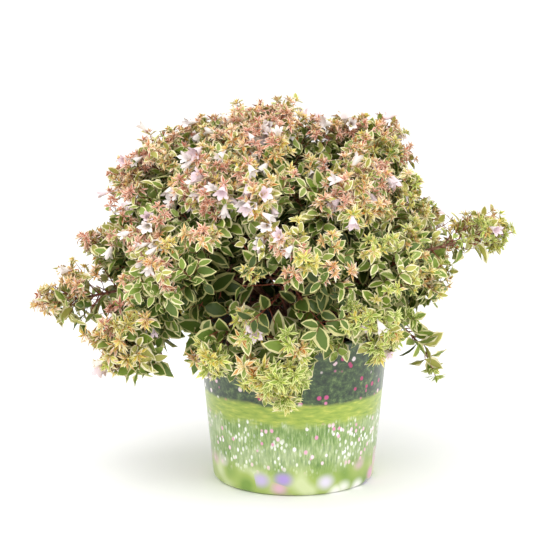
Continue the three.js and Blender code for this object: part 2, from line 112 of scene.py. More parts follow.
# Limbs, as the frame has them: their radii, where the main ones leave the stool, as shares of its height
# and top, and at what pitch, and where the side ones fork from a main one, follow it and rise
MAIN_BOUGH = {"base": 3.1 * MM, "tip": 2.1 * MM}
SIDE_BOUGH = {"base": 2.3 * MM, "tip": 1.9 * MM}
ROOT_RISE = {"crown": 0.9, "first": 0.42, "spread": 0.3}
ROOT_OUT = {"crown": 0.62, "other": 2 * MM}
ROOT_PITCH = {"crown": 84, "other": 48}
FORK_FIRST = 0.42
FORK_STEP = 0.2
FORK_FOLLOW = 0.5
FORK_RISE = 0.25
# A path's handles, as shares of its span and at most of its mass's length, and its steps
HANDLES = {"first": 0.36, "last": 0.55, "in_mass": 0.8}
PATH_STEPS = 200

# How limbs are carried on into each mass: where they enter it, and how much of its path the stem takes
ENTRY_FIRST = 0.2
ENTRY_LAST = 0.97
ENTRY_CLEAR = 3 * MM
STEM_SHARE = 0.6
STEM_END = 0.93
STEM_TIP = 0.65 * MM
TWIG_NODES = (0.1, 0.3, 0.41, 0.52, 0.63, 0.74, 0.85, 0.96, 1.2, 1.42)
# Twigs that look further back into the crown than this are left out.
INWARD = -0.35
SEED = 20417
CROWN_HEART = np.array([-10.0, 0.0, 185.0]) * MM
# A share of the way through a row of colours that still falls on the last one
LAST_SHARE = 0.999

# The mesh of the limbs, the swelling at each of their nodes, and their bark's relief
LIMB_MESH = {"steps": 72, "sides": 10}
NODES = {"swelling": 0.16, "gap": 24 * MM, "before": 9 * MM, "width": 2.2 * MM}
RELIEF = {"grain": 3.2 * MM, "stool": 0.3 * MM, "boughs": 0.12 * MM}
# Thin shoots: radius, steps and sides, and the share of the radius that is lost towards the tip
SHOOT_MESH = {"twigs": (0.75 * MM, 5, 5), "twiglets": (0.5 * MM, 4, 3), "spurs": (0.4 * MM, 2, 3)}
SHOOT_TAPER = 0.45

# A mass's outline from beside it: 2 is an ellipse, and more is squarer
BLOCK_POWER = 3

# Level rings of masses. The crown leans left, so reach and height swing with the azimuth, which is
# measured from +X towards +Y. Lengths in this table and the next are millimetres.
RINGS = (
    {
        "prefix": "crown",
        "lean": (10, 0),
        "shape": {"reach": 80, "height": 359, "pitch": 76, "length": 124, "width": 134, "main": True},
        "azimuths": {"right": 4, "left_back": 128, "front_left": 226},
    },
    {
        "prefix": "upper",
        "lean": (20, 10),
        "shape": {"reach": 140, "height": 313, "pitch": 42, "length": 132, "width": 132, "main": False},
        "azimuths": {
            "right": 351, "back_right": 46, "back": 97, "left_back": 147,
            "left": 188, "front_left": 240, "front_right": 295,
        },
    },
    {
        "prefix": "middle",
        "lean": (24, 4),
        "shape": {"reach": 184, "height": 233, "pitch": 8, "length": 134, "width": 136, "main": True},
        "azimuths": {
            "right": 14, "back_right": 52, "back": 95, "left_back": 140,
            "left": 183, "front_left": 226, "front": 268, "front_right": 312,
        },
    },
)

# Masses with a place of their own: azimuth, reach, height, pitch, length, width, and whether main
SPRAYS = {
    "crown_top": (180, 33, 378, 84, 122, 126, True),
    "spray_right_long": (351, 215, 251, 10, 128, 60, True),
    "spray_left_long": (186, 257, 178, -6, 140, 76, False),
    "hanging_left": (201, 202, 129, -32, 130, 96, False),
    "hanging_front_left": (238, 154, 134, -46, 106, 90, False),
    "hanging_front": (264, 135, 102, -70, 114, 74, False),
    "hanging_front_right": (303, 148, 153, -40, 110, 96, False),
    "hanging_right": (352, 142, 104, -70, 124, 58, False),
    "hanging_back_right": (56, 154, 142, -50, 112, 110, False),
    "hanging_back_left": (118, 170, 124, -50, 122, 122, False),
}

# Masses that the sky shows through: the share of their side shoots and of their leaves that they bear
OPEN_MASSES = {
    "spray_right_long": (0.75, 0.65),
    "spray_left_long": (0.7, 0.65),
    "hanging_left": (0.85, 0.65),
    "hanging_front_left": (0.5, 1),
    "hanging_front": (0.55, 1),
    "hanging_front_right": (0.5, 1),
    "hanging_right": (0.3, 1),
}
# The mass that is one long drooping shoot: how long its side shoots are, how much larger its leaves, and
# how far out along it the tufts begin
LONE_SHOOT = {"name": "hanging_right", "side": 7 * MM, "leaves": 1.35, "tufts_from": 0.75}

# Places in the crown, as the middle and the half axes of an ellipsoid in millimetres. First the hollows
# where the sky shows.
HOLLOWS = (
    ((33, 0, 386), (28, 130, 24)),
    ((-204, 0, 267), (52, 130, 22)),
    ((134, 0, 291), (24, 120, 19)),
    ((102, -60, 126), (20, 110, 38)),
    ((-97, -50, 126), (18, 110, 26)),
    ((184, -30, 212), (40, 60, 24)),
    ((187, -30, 279), (20, 60, 18)),
    ((224, -30, 250), (22, 60, 50)),
    ((-222, -10, 146), (30, 60, 20)),
)
# The shaded hollow at the front, which also puts painted shade on the colours of the leaves round it
FRONT_SHADE = ((-22, -112, 212), (64, 125, 21))
SHADE_SPREAD = 1.6
# The thin growth below it, and two gaps in its leaves, where the pot's rim shows
FRONT_RIM = ((-10, -112, 180), (100, 110, 24))
RIM_GAPS = (((-68, -140, 173), (26, 90, 24)), ((-22, -140, 168), (30, 90, 21)))
# Where single sprigs stand out of the outline
LEFT_SHOULDER = ((-170, 0, 308), (45, 100, 28))

# How far short of the open air the twigs end, in millimetres. A share of them come close to it,
# neighbours swing in and out by clumps, and open masses on the right are fuller on their upper side.
EDGE = {
    "close": 2, "close_share": 0.15, "usual": 16, "stray": 6, "least": 1, "clump": 42, "swing": 22,
    "sprigs": 0.5, "sprigs_out": 20, "fuller": (-4, 9), "tilt": 0.3, "open": 4, "neighbour": 2,
}

# How much the light comes from above beside out of the crown, and how much leaves face up
LIGHT_FROM_ABOVE = 0.8
FACING_UP = 0.4
# The shaded band low on the crown: heights in millimetres, and how much shade each is in
SKIRT_BAND = ((150, 190, 225, 270), (0.2, 1, 1, 0))

# How values change with a length in millimetres: the first and last length, and the value at each
FADES = {
    "top_twigs_lower": (300, 350, 0, 7 * MM),
    "skirt_shade_aside": (90, 150, 1, 0.3),
    "leaf_size_in_shade": (10, 60, 0.84, 1.3),
    "leaf_size_low_down": (170, 260, 1.15, 1),
    "leaves_inside": (30, 62, 1, 0.3),
    "young_size_low_down": (140, 210, 1.5, 1),
    "tufts_in_shade": (14, 46, 1, 0.12),
    "few_flowers_low": (110, 260, 4, 1),
    "few_flowers_right": (0, 150, 1, 2),
    # The next two paint the grown leaves' colours: painted shade low down, and painted light to the sides
    "painted_shade_low_down": (160, 250, 0.2, 0),
    "painted_light_aside": (90, 160, 0, 0.14),
}

# Side growth by kind: how far it turns from what bears it in degrees, how far it strays about it in
# radians, and its lengths in millimetres
TWIG = {"angle": 68, "closing": 9, "spin": 0.5, "stray": 0.3, "least": 5, "bend": 0.08, "in_hollow": 0.6}
TWIGLET = {
    "angle": 52, "stray": 0.5, "pairs": 8, "least": 4, "least_share": 0.65, "bare_from": 0.25,
    "nearer": 3, "edge": 5, "edge_stray": 4, "follow": 0.15, "rise": 0.3,
}
SPUR = {
    "angle": 48, "stray": 0.6, "back": (6, 12), "past": 3, "least": 3.5, "short": 6, "long": 4, "edge": 11,
    "outward": 0.05,
}
LEAF = {"angle": 56, "stray": 0.4, "width": 0.58, "facing": 0.75, "shorter": 0.42}
YOUNG = {"angle": 84, "closing": 66, "stray": 0.35, "width": 0.29, "facing": 0.3, "shorter": 0.4}
# How far each pair of a tuft is turned from the last one in radians, and how much of its own facing a
# young leaf keeps as it turns to the tuft's axis
YOUNG_TURN = 1.25
YOUNG_OWN_FACING = 0.3
# How much more growth than there is the painted shade at the front and in the skirt stands for, in
# millimetres, which darkens the colours of the leaves there
SHADE_DEPTH = {"front": 20, "skirt": 18}
# The first leaf along a shoot, in millimetres, and how many pairs it may bear
LEAF_PAIRS = {"twigs": (6, 7), "twiglets": (5, 4)}
# The numbers that name the draws of the leaves' pairs, and of the young leaves' pairs, sizes and turns
LEAF_RANK = 20
YOUNG_RANK = 60
YOUNG_SIZE_DRAW = 40
YOUNG_TURN_DRAW = 50
# How leaves of one pair differ: how far each value strays from its middle one, or its least and its range
LEAF_STRAY = {
    "turn": 0.25, "angle": 0.22, "droop": 0.1, "fold": 0.15, "ripple": 0.3, "margin": 0.5, "skew": 0.4,
}
LEAF_MIDDLE = {"droop": 0.16, "fold": 0.3, "margin": 1}
LEAF_RANGE = {"size": (0.8, 0.3), "width": (0.9, 0.2), "young_size": (0.85, 0.3)}
# How much of their leaves the front's places lose, and how strongly a place acts on the tufts
LEAVES_LOST = {"shade": 1.2, "rim": 0.8}
TUFTS = {"skirt": 0.6, "rim": 0.6, "gaps": 0.6, "open": 0.7}
# The share of the way along its mass over which a tip comes to bear a tuft, and how that is held back on
# the mass's underside: how far under its middle, and the share at each
TUFTS_REACH = (0.45, 0.8)
TUFTS_UNDER = ((-0.5, 0.3), (0.9, 0.05))
# Masses whose growth looks down more steeply than this hang.
HANGING = -0.3

# How young leaves turn from yellow-green to rose, by height and to the left in millimetres, by place in
# the tuft, by spray and by leaf. Hanging masses turn less, but not at the far left.
TINT = {
    "foot": 120, "rise": 240, "width": 380, "middle": 0.5, "by_height": 0.42, "by_left": 0.6, "all": 0.07,
    "hanging": 0.3, "far_left": 0.8, "inner": 0.12, "spray": 0.4, "leaf": 0.22,
}
# How grown leaves darken, in painted shade: the growth round and over them that makes them darkest, in
# millimetres, how much of that counts in open and in full masses, and what is added for all, in the skirt
# and by spray
SHADE = {"hidden": 60, "shaded": 80, "open": 0.35, "full": 0.66, "all": 0.06, "skirt": 0.2, "spray": 0.28}

# A flower: a bell's rings as radius and height in millimetres, and one lobe's points, each with its steps
# round the bell first
BELL_RINGS = ((0.8, 0.0), (1.3, 3.4), (2.7, 7.4), (3.6, 11.2))
BELL_LOBE = ((0.3, 4.8, 13.2), (1.0, 4.7, 12.8), (1.7, 4.8, 13.2), (1.0, 6.6, 14.4))
BELL_SIDES = 10
# How far flowers stray, look out of the crown and nod, the size of their clusters, and how rare they are
# this near the top. A bell's size each way is the first number, and up to the second more.
FLOWER = {"stray": 0.7, "outward": 0.2, "nod": 1.15, "cluster": 16 * MM, "top": 20 * MM, "rare_at_top": 9}
FLOWER_SIZES = ((0.75, 0.75, 0.9), (0.6, 0.6, 0.3))
FLOWER_COLOURS = {"flowers_white": ("#f1e9e6", 0, 0.6), "flowers_blush": ("#ebd8dd", 0.6, 1)}

# Leaf outlines: the share of the length and of the half width at each station, and the margin's share
LEAF_OUTLINE = {"stations": ((0.18, 0.7), (0.44, 1.0), (0.76, 0.62)), "margin": 0.3, "inner_tip": 0.92}
BRACT_OUTLINE = {"stations": ((0.48, 1.0),), "margin": 0.4, "inner_tip": 0.84}

# Colours as the eye sees them, dealt out by spray: a blade and its margin. They run from golden leaves in
# the light to deep green ones in the shade, partly the leaves' own colour and partly painted shade, which
# darkens the margins of the deeper ones too
LEAF_COLOURS = {
    "golden": ("#b0ae58", "#f4ecc4"),
    "fresh": ("#8fa14d", "#eee6b6"),
    "mid": ("#788e33", "#e3dca4"),
    "grey": ("#5c732c", "#d2cd8f"),
    "deep": ("#3b4d18", "#99965b"),
}
YOUNG_COLOURS = {
    "leafy": ("#8ca03e", "#dee195"),
    "lime": ("#adbd44", "#eae997"),
    "olive": ("#b3ad45", "#e6df95"),
    "yellow": ("#d1b742", "#ece092"),
    "cream": ("#d6bf78", "#f4ecc6"),
    "apricot": ("#d29b56", "#f2e0b0"),
    "bronze": ("#b6722e", "#e8ce8c"),
    "blush": ("#e2b892", "#faecd8"),
    "salmon": ("#cc885c", "#f6debe"),
    "rose": ("#b8684e", "#f2d0b8"),
}
# How rough the skins are: blade and margin
LEAF_ROUGHNESS = (0.42, 0.5)
YOUNG_ROUGHNESS = (0.5, 0.55)

# The label's print, in bands from the underside up. A band has its lower edge, as height, softness,
# wander and the wander's size, and layers of ink: clouds, or blooms on a scattered grid. A stretch of 2
# makes a pattern half as long that way. Lengths are millimetres, and a bloom's size is a share of its
# spacing.
CLOUD = {"Detail": 3, "Roughness": 0.55}
BLURRED = {"share": 0.62, "stretch": (1, 1.25, 1), "full": 0.15}
PRINT_BANDS = (
    {
        "edge": None,
        "layers": (
            {
                "cloud": {"size": 34, "Detail": 1},
                "inks": ((0.32, "#7a9a3e"), (0.5, "#a2b65c"), (0.68, "#ccd6a2")),
            },
            {
                "bloom": {"spacing": 38, "size": 0.66, **BLURRED},
                "inks": ((0.25, "#f1f1e9"), (0.45, "#c3d38c"), (0.65, "#e9b9d2")),
            },
            {
                "bloom": {"spacing": 23, "size": 0.62, **BLURRED},
                "inks": ((0.3, "#fbfaf6"), (0.5, "#d585b6"), (0.62, "#f6f4f2"), (0.9, "#ab93d3")),
            },
        ),
    },
    {
        "edge": (28, 20, 7, 24),
        "layers": (
            {
                "cloud": {"size": 9, "Detail": 4, "stretch": (4, 0.7, 1), "Roughness": 0.65},
                "inks": ((0.3, "#43642f"), (0.45, "#6c8d44"), (0.55, "#96ae66"), (0.68, "#cfd8b6")),
            },
            {
                "cloud": {"size": 26, "Detail": 2},
                "strength": 0.36,
                "inks": ((0.35, "#6f8f48"), (0.5, "#a3b67c"), (0.65, "#d0d6b6")),
            },
            {
                "bloom": {"spacing": 4.6, "size": 0.46, "share": 0.62, "stretch": (1.3, 0.75, 1)},
                "clumps": {"size": 40, "Detail": 1},
                "inks": ((0.3, "#f4f5ec"), (0.6, "#e3e9d6"), (0.85, "#ffffff")),
            },
            {
                "bloom": {"spacing": 5.6, "size": 0.4, "share": 0.34, "stretch": (1, 0.8, 1)},
                "inks": ((0.3, "#f0cfdc"), (0.6, "#dd8fb1"), (0.85, "#faf2f3")),
            },
        ),
    },
    {
        "edge": (72, 12, 9, 18),
        "layers": (
            {
                "cloud": {"size": 6, "Detail": 4, "stretch": (0.5, 2, 1)},
                "inks": ((0.3, "#7d9a34"), (0.55, "#a0b345"), (0.75, "#cdcd5c")),
            },
        ),
    },
    {
        "edge": (92, 5, 4, 30),
        "layers": (
            {
                "cloud": {"size": 7, "Detail": 6, "Roughness": 0.75},
                "inks": ((0.32, "#17261a"), (0.46, "#2b3f27"), (0.56, "#4a6237"), (0.7, "#86995e")),
            },
            {
                "bloom": {"spacing": 8, "size": 0.34, "share": 0.3},
                "inks": ((0.3, "#b5306a"), (0.6, "#c9588f"), (0.85, "#dd8fb4")),
            },
            {
                "bloom": {"spacing": 6.5, "size": 0.44, "share": 0.14},
                "inks": ((0.3, "#f1dde2"), (0.6, "#e9bccb"), (0.85, "#f6f0ee")),
            },
        ),
    },
)
CLUMP_EDGE = {"From Min": 0.42, "From Max": 0.58}

# The studio: soft round lights as place, width in metres and power in watts, and the photograph's camera
LIGHTS = {"key": ((-0.5, -1.3, 2.2), 2.0, 25), "fill": ((1.5, -1.2, 0.9), 1.4, 5)}
LIT_PLACE = (0, 0, 0.2)
FLOOR_REACH = 40.0
CAMERA = {"place": (-0.017, -1.790, 0.527), "tilt": 79.7, "sensor": 36, "clip_end": 200}


class PotSettings(bpy.types.PropertyGroup):
    """Sizes and colours of the printed nursery pot and its soil."""

    sides: bpy.props.IntProperty(name="Sides", description="Facets round the pot", default=144, min=24)
    inside: bpy.props.StringProperty(
        name="Inside", description="Colour of the bare plastic, as sRGB hex", default="#8b9099"
    )
    soil: bpy.props.StringProperty(
        name="Soil", description="Colour of the soil, as sRGB hex", default="#3a2c22"
    )
    crumbs: bpy.props.FloatProperty(
        name="Crumbs", description="Crumbs of bark on each square metre of soil", default=26000, min=0
    )


class GrowthSettings(bpy.types.PropertyGroup):
    """How finely the shrub is grown, and the real sizes of its leaves."""

    twiglet_gap: bpy.props.FloatProperty(
        name="Twiglet gap", description="Way along a twig from one pair of twiglets to the next",
        default=11.5 * MM, unit="LENGTH",
    )
    twiglet_length: bpy.props.FloatProperty(
        name="Twiglet length", description="Longest twiglet", default=26 * MM, unit="LENGTH"
    )
    leaf_gap: bpy.props.FloatProperty(
        name="Leaf gap", description="Way along a twiglet from one pair of leaves to the next",
        default=6.5 * MM, unit="LENGTH",
    )
    leaf_length: bpy.props.FloatProperty(
        name="Leaf length", description="Length of a grown leaf", default=21 * MM, unit="LENGTH"
    )
    bract_length: bpy.props.FloatProperty(
        name="Young leaf length", description="Length of the outermost young leaf of a tuft",
        default=9.6 * MM, unit="LENGTH",
    )
    bract_pairs: bpy.props.IntProperty(
        name="Young pairs", description="Pairs of young leaves in a tuft", default=7, min=2, max=9
    )
    young_cover: bpy.props.FloatProperty(
        name="Young cover", description="Shoots that end nearer than this to open air bear a tuft",
        default=20 * MM, unit="LENGTH",
    )
    flowers: bpy.props.IntProperty(name="Flowers", description="Open flowers", default=250, min=0)


class StageSettings(bpy.types.PropertyGroup):
    """The studio: floor, light and camera."""

    floor: bpy.props.StringProperty(
        name="Floor", description="Floor colour, as sRGB hex", default="#fcfcfb"
    )
    sky: bpy.props.FloatProperty(name="Soft light", description="Strength of the even light", default=1.2)
    lens: bpy.props.FloatProperty(name="Lens", description="Focal length in millimetres", default=119.85)


def linear(colour):
    """An sRGB hex colour as the linear red, green, blue and alpha that sockets take."""
    shares = [int(colour[i : i + 2], 16) / 255 for i in (1, 3, 5)]
    return [s / 12.92 if s <= 0.04045 else ((s + 0.055) / 1.055) ** 2.4 for s in shares] + [1.0]


def add_node(tree, kind, inputs=None, stops=(), **settings):
    """Adds a node with its settings. Each input is a value, or an output socket to link from, and a colour
    ramp's stops are (place, hex) pairs."""
    node = tree.nodes.new(kind)
    for name, value in settings.items():
        setattr(node, name, value)
    for name, value in (inputs or {}).items():
        if isinstance(value, bpy.types.NodeSocket):
            tree.links.new(value, node.inputs[name])
        else:
            node.inputs[name].default_value = value
    if stops:
        elements = node.color_ramp.elements
        while len(elements) < len(stops):
            elements.new(0.5)
        for element, (place, colour) in zip(elements, stops):
            element.position = place
            element.color = linear(colour)
    return node


def surface(name, **shader):
    """A new material with one Principled shader; returns the material, its tree and the shader."""
    material = bpy.data.materials.new(name)
    material.use_nodes = True
    tree = material.node_tree
    bsdf = tree.nodes["Principled BSDF"]
    for socket, value in shader.items():
        bsdf.inputs[socket.replace("_", " ")].default_value = value
    return material, tree, bsdf


def mottled(name, patch, stops, depth, grain=None, strength=1.0, **shader):
    """A new material in patches of colour with a relief. Patch and grain are each a size and the settings
    of a noise, and without a grain the relief follows the patches."""
    material, tree, bsdf = surface(name, **shader)
    place = add_node(tree, "ShaderNodeTexCoord").outputs["Object"]
    factors = []
    for size, settings in (patch, grain) if grain else (patch,):
        given = {"Vector": place, "Scale": 1 / size, **settings}
        factors.append(add_node(tree, "ShaderNodeTexNoise", given).outputs["Fac"])
    shade = add_node(tree, "ShaderNodeValToRGB", {"Fac": factors[0]}, stops)
    tree.links.new(shade.outputs["Color"], bsdf.inputs["Base Color"])
    relief = {"Height": factors[-1], "Strength": strength, "Distance": depth}
    bump = add_node(tree, "ShaderNodeBump", relief)
    tree.links.new(bump.outputs["Normal"], bsdf.inputs["Normal"])
    return material


def piece(name, points, faces, materials, which=None, smooth=True):
    """A mesh object in the frame's place, with a material number for each face."""
    mesh = bpy.data.meshes.new(name)
    mesh.from_pydata(points, [], faces)
    for material in materials:
        mesh.materials.append(material)
    if which is not None:
        mesh.polygons.foreach_set("material_index", np.asarray(which, dtype=np.int32))
    mesh.polygons.foreach_set("use_smooth", np.full(len(mesh.polygons), smooth))
    mesh.update()
    made = bpy.data.objects.new(name, mesh)
    bpy.context.scene.collection.objects.link(made)
    return made


def settle(made, slot, *nodes):
    """Rides a finished piece on the plant's body and hides the frame's nodes that it stands for; its slot
    is not used.
    """
    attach(made, BODY)
    if nodes:
        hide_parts(*nodes)
    return made


def deal(*keys):
    """The same numbers from 0 up to 1 for the same keys, as the frame's own rule deals them. A bare number
    among the keys tells one draw from another."""
    h = np.full(np.broadcast(*keys).shape or (1,), SEED, dtype=np.uint32)
    for key in keys:
        mixed = (np.asarray(key, dtype=np.int64) + 0x7F4A7C15).astype(np.uint32)
        h = (h ^ mixed) * np.uint32(0x85EBCA6B)
        h = h ^ (h >> np.uint32(13))
        h = h * np.uint32(0xC2B2AE35)
        h = h ^ (h >> np.uint32(16))
    return h / 2**32


def jitter(size, *keys):
    """Numbers dealt evenly from -size to +size."""
    return (deal(*keys) * 2 - 1) * size


def dot(a, b):
    """The dot product of each pair of vectors."""
    return np.sum(a * b, axis=-1, keepdims=True)


def unit(vectors):
    """The vectors at length 1."""
    return vectors / np.maximum(np.linalg.norm(vectors, axis=-1, keepdims=True), 1e-12)


def square_to(wanted, along):
    """The unit vectors nearest to the wanted ones that are square to along."""
    return unit(wanted - along * dot(wanted, along))


def aimed(azimuth, pitch):
    """The unit vector at an azimuth and a pitch in degrees."""
    level = math.cos(pitch * DEGREE)
    return np.array(
        [level * math.cos(azimuth * DEGREE), level * math.sin(azimuth * DEGREE), math.sin(pitch * DEGREE)]
    )


def mass_from(name, azimuth, reach, height, pitch, length, width, main):
    """A rounded block of growth behind its outermost tip, which looks along its growth."""
    growth = aimed(azimuth, pitch)
    tip = aimed(azimuth, 0) * reach * MM + UP * height * MM
    return SimpleNamespace(
        name=name, azimuth=azimuth, main=main, growth=growth, tip=tip, length=length * MM,
        centre=tip - growth * length * MM / 2, half_length=length * MM / 2, half_width=width * MM / 2,
    )


def ring_masses(ring):
    """The masses of a level ring, leaning left with the crown."""
    for where, azimuth in ring["azimuths"].items():
        lean = -math.cos(azimuth * DEGREE)
        shape = dict(ring["shape"])
        shape["reach"] += ring["lean"][0] * lean
        shape["height"] += ring["lean"][1] * lean
        yield mass_from(f"{ring['prefix']}_{where}", azimuth, **shape)


MASSES = [mass for ring in RINGS for mass in ring_masses(ring)]
MASSES += [mass_from(name, *spec) for name, spec in SPRAYS.items()]
CENTRES = np.array([mass.centre for mass in MASSES])
GROWTHS = np.array([mass.growth for mass in MASSES])
HALVES = np.array([[mass.half_length, mass.half_width] for mass in MASSES])
FULLNESS, LEAFINESS = np.array([OPEN_MASSES.get(mass.name, (1.0, 1.0)) for mass in MASSES]).T
OPEN = FULLNESS < 1
LONE = np.array([mass.name == LONE_SHOOT["name"] for mass in MASSES])


def depth_in(points):
    """How far out each point lies in each mass's rounded block: 0 at its centre, 1 on its surface."""
    offset = points[:, None, :] - CENTRES
    along = dot(offset, GROWTHS)
    across = np.linalg.norm(offset - along * GROWTHS, axis=-1)
    far = np.abs(along[..., 0]) / HALVES[:, 0], across / HALVES[:, 1]
    return (far[0] ** BLOCK_POWER + far[1] ** BLOCK_POWER) ** (1 / BLOCK_POWER)


def in_space(owner, points, margin=SEAT_GAP):
    """Whether each point is in its own mass's space: in its block, on its side of every shared plane."""
    rows = np.arange(len(points))
    gap = CENTRES[None] - CENTRES[owner][:, None, :]
    distance = np.linalg.norm(gap, axis=-1)
    share = HALVES[owner, 1][:, None] / (HALVES[owner, 1][:, None] + HALVES[:, 1])
    reached = dot((points - CENTRES[owner])[:, None, :], gap)[..., 0] / np.maximum(distance, 1e-9)
    side = distance * share - reached
    side[rows, owner] = 1
    return (depth_in(points)[rows, owner] <= 1) & (side.min(axis=1) >= margin)


def run_to(owner, points, along, halvings=12):
    """How far a ray from each point inside its mass's space runs before it leaves it."""
    low = np.zeros((len(points), 1))
    high = 2 * HALVES[owner, :1]
    for _ in range(halvings):
        middle = (low + high) / 2
        within = in_space(owner, points + along * middle)[:, None]
        low = np.where(within, middle, low)
        high = np.where(within, high, middle)
    return low[:, 0]


def run_in_box(points, along, inset):
    """How far a ray from each point runs before it comes near a side of the frame's box."""
    along = np.where(np.abs(along) < 1e-6, 1e-6, along)
    wall = np.where(along > 0, BOX_HIGH - inset, BOX_LOW + inset)
    return ((wall - points) / along).min(axis=1)


def room(owner, points, along, edge):
    """How long a shoot may grow: short of the open air by edge, but right up to a neighbouring mass."""
    run = run_to(owner, points, along)
    beyond = points + along * (run + MM)[:, None]
    open_air = depth_in(beyond).min(axis=1) > 1
    edge = edge + EDGE["open"] * MM * OPEN[owner]
    edge = np.where(open_air, edge, EDGE["neighbour"] * MM)
    return np.minimum(run - edge, run_in_box(points, along, TUFT_ROOM))


def fade(name, lengths):
    """The value that a line of FADES gives for each length."""
    start, end, low, high = FADES[name]
    return np.interp(lengths, (start * MM, end * MM), (low, high))


def inside(points, centre, reach, spread=1.0, steepness=1.3):
    """1 in the middle of an ellipsoid, 0 from its edge on; a larger spread takes in what lies round it."""
    away = (points - np.array(centre) * MM) / (np.array(reach) * MM * spread)
    return np.clip(steepness - steepness * np.linalg.norm(away, axis=1), 0, 1)


def inside_any(points, places):
    """1 in the middle of any of the places, 0 outside them all."""
    return np.max([inside(points, *place) for place in places], axis=0)


def bareness(points, front=1.0):
    """1 in the middle of a hollow, or of the shade at the front, 0 from their edges on."""
    return np.maximum(inside_any(points, HOLLOWS), front * inside(points, *FRONT_SHADE))


def aside(points):
    """How far each point lies to the left or right of the crown's middle."""
    return np.abs(points[:, 0] - CROWN_HEART[0])


def in_skirt_shade(owner, points):
    """1 in a band low on the crown's front and back, 0 on the shoots that stand clear of the crown."""
    heights, shades = SKIRT_BAND
    low = np.interp(points[:, 2], np.array(heights) * MM, shades)
    return low * fade("skirt_shade_aside", aside(points)) * ~OPEN[owner]


def growth_over(points, ways, reach=72, step=4):
    """How much growth lies over each point along its way out; reach and step are millimetres."""
    hidden = [depth_in(points + ways * away * MM).min(axis=1) < 1 for away in range(0, reach, step)]
    return np.sum(hidden, axis=0) * step * MM


def cover(owner, points):
    """How deep each point lies in the growth, by the shorter of two ways out."""
    return np.minimum(growth_over(points, unit(points - CROWN_HEART)), growth_over(points, GROWTHS[owner]))


def to_light(points):
    """Which way the light comes from: out of the crown and from above."""
    return unit(unit(points - CROWN_HEART) + LIGHT_FROM_ABOVE * UP)


def bezier(path, t):
    """Points on a cubic path of four points, at each share t."""
    t = np.atleast_1d(t)[:, None]
    a, b, c, d = path
    return (1 - t) ** 3 * a + 3 * (1 - t) ** 2 * t * b + 3 * (1 - t) * t**2 * c + t**3 * d


def bezier_along(path, t):
    """Which way a cubic path looks at each share t."""
    t = np.atleast_1d(t)[:, None]
    a, b, c, d = path
    return unit(3 * (1 - t) ** 2 * (b - a) + 6 * (1 - t) * t * (c - b) + 3 * t**2 * (d - c))


def path_length(path):
    """The length of a cubic path."""
    points = bezier(path, np.linspace(0, 1, PATH_STEPS + 1))
    return np.linalg.norm(np.diff(points, axis=0), axis=1).sum()


def limb_path(mass, root, first):
    """A cubic path that leaves its root one way and comes to the mass's tip along its growth."""
    span = np.linalg.norm(mass.tip - root)
    held = mass.tip - mass.growth * min(mass.length * HANDLES["in_mass"], span * HANDLES["last"])
    return np.array([root, root + first * span * HANDLES["first"], held, mass.tip])


def entry_of(index, path):
    """The share of the path at which it is in its mass's space for good, and well clear of its fork."""
    shares = np.arange(1, PATH_STEPS + 1) / PATH_STEPS
    within = in_space(np.full(PATH_STEPS, index), bezier(path, shares), ENTRY_CLEAR)
    outside = np.flatnonzero(~(within | (shares >= ENTRY_LAST)))
    return max(shares[outside[-1] + 1] if len(outside) else 0, ENTRY_FIRST)


def stool_root(mass, order):
    """Where a main limb leaves the stool: crown limbs from its top, the others in turn from lower down."""
    upright = mass.name.startswith("crown")
    rise = ROOT_RISE["crown"] if upright else ROOT_RISE["first"] + ROOT_RISE["spread"] * (order % 3) / 2
    rise = STOOL["height"] * rise
    out = STOOL["top"] * ROOT_OUT["crown"] if upright else ROOT_OUT["other"]
    out = 0 if mass.name == "crown_top" else out
    lean = STOOL["lean"] * rise / STOOL["height"]
    return aimed(mass.azimuth, 0) * out + np.array([-lean, 0, SOIL_TOP + SEAT_GAP + rise])


@functools.cache
def limbs():
    """One path for each mass, from the stool or from a main limb to the mass's tip."""
    mains = [mass for mass in MASSES if mass.main]
    for order, mass in enumerate(mains):
        pitch = ROOT_PITCH["crown" if mass.name.startswith("crown") else "other"]
        mass.path = limb_path(mass, stool_root(mass, order), aimed(mass.azimuth, pitch))
        mass.entry = entry_of(MASSES.index(mass), mass.path)
        mass.bough = MAIN_BOUGH
    children = {mass.name: 0 for mass in mains}
    for mass in MASSES:
        if mass.main:
            continue
        parent = min(mains, key=lambda other: np.linalg.norm(other.tip - mass.tip))
        t = parent.entry * (FORK_FIRST + FORK_STEP * children[parent.name])
        children[parent.name] += 1
        root = bezier(parent.path, t)[0]
        follow = FORK_FOLLOW * bezier_along(parent.path, t)[0]
        first = unit(unit(mass.tip - root) + follow + FORK_RISE * UP)
        mass.path = limb_path(mass, root, first)
        mass.entry = entry_of(MASSES.index(mass), mass.path)
        mass.bough = SIDE_BOUGH
    return MASSES


def facing_of(points, along, stray, *keys):
    """Which way a leaf faces: out of the crown, a little up, a little astray, square to its length."""
    wanted = unit(points - CROWN_HEART) + FACING_UP * UP
    wanted = wanted + np.stack([jitter(stray, *keys, axis) for axis in (1, 2, 3)], axis=1)
    return square_to(wanted, along)


def shoots(owner, points, along, lengths, bend, spray, edge, stray=0.8):
    """A batch of shoots: where each starts, its way, and the frame that its own side growth turns in."""
    keys = np.arange(len(points))
    side = facing_of(points, along, stray, spray, keys, 31)
    return SimpleNamespace(
        owner=owner, points=points, along=along, lengths=lengths, bend=bend, spray=spray, keys=keys,
        edge=edge, side=side, other=np.cross(side, along),
    )


def picked(batch, chosen):
    """The chosen shoots or leaves of a batch."""
    return SimpleNamespace(**{name: values[chosen] for name, values in vars(batch).items()})


def joined(batches):
    """Several batches as one."""
    names = vars(batches[0])
    columns = {name: [getattr(batch, name) for batch in batches] for name in names}
    return SimpleNamespace(**{name: np.concatenate(column) for name, column in columns.items()})


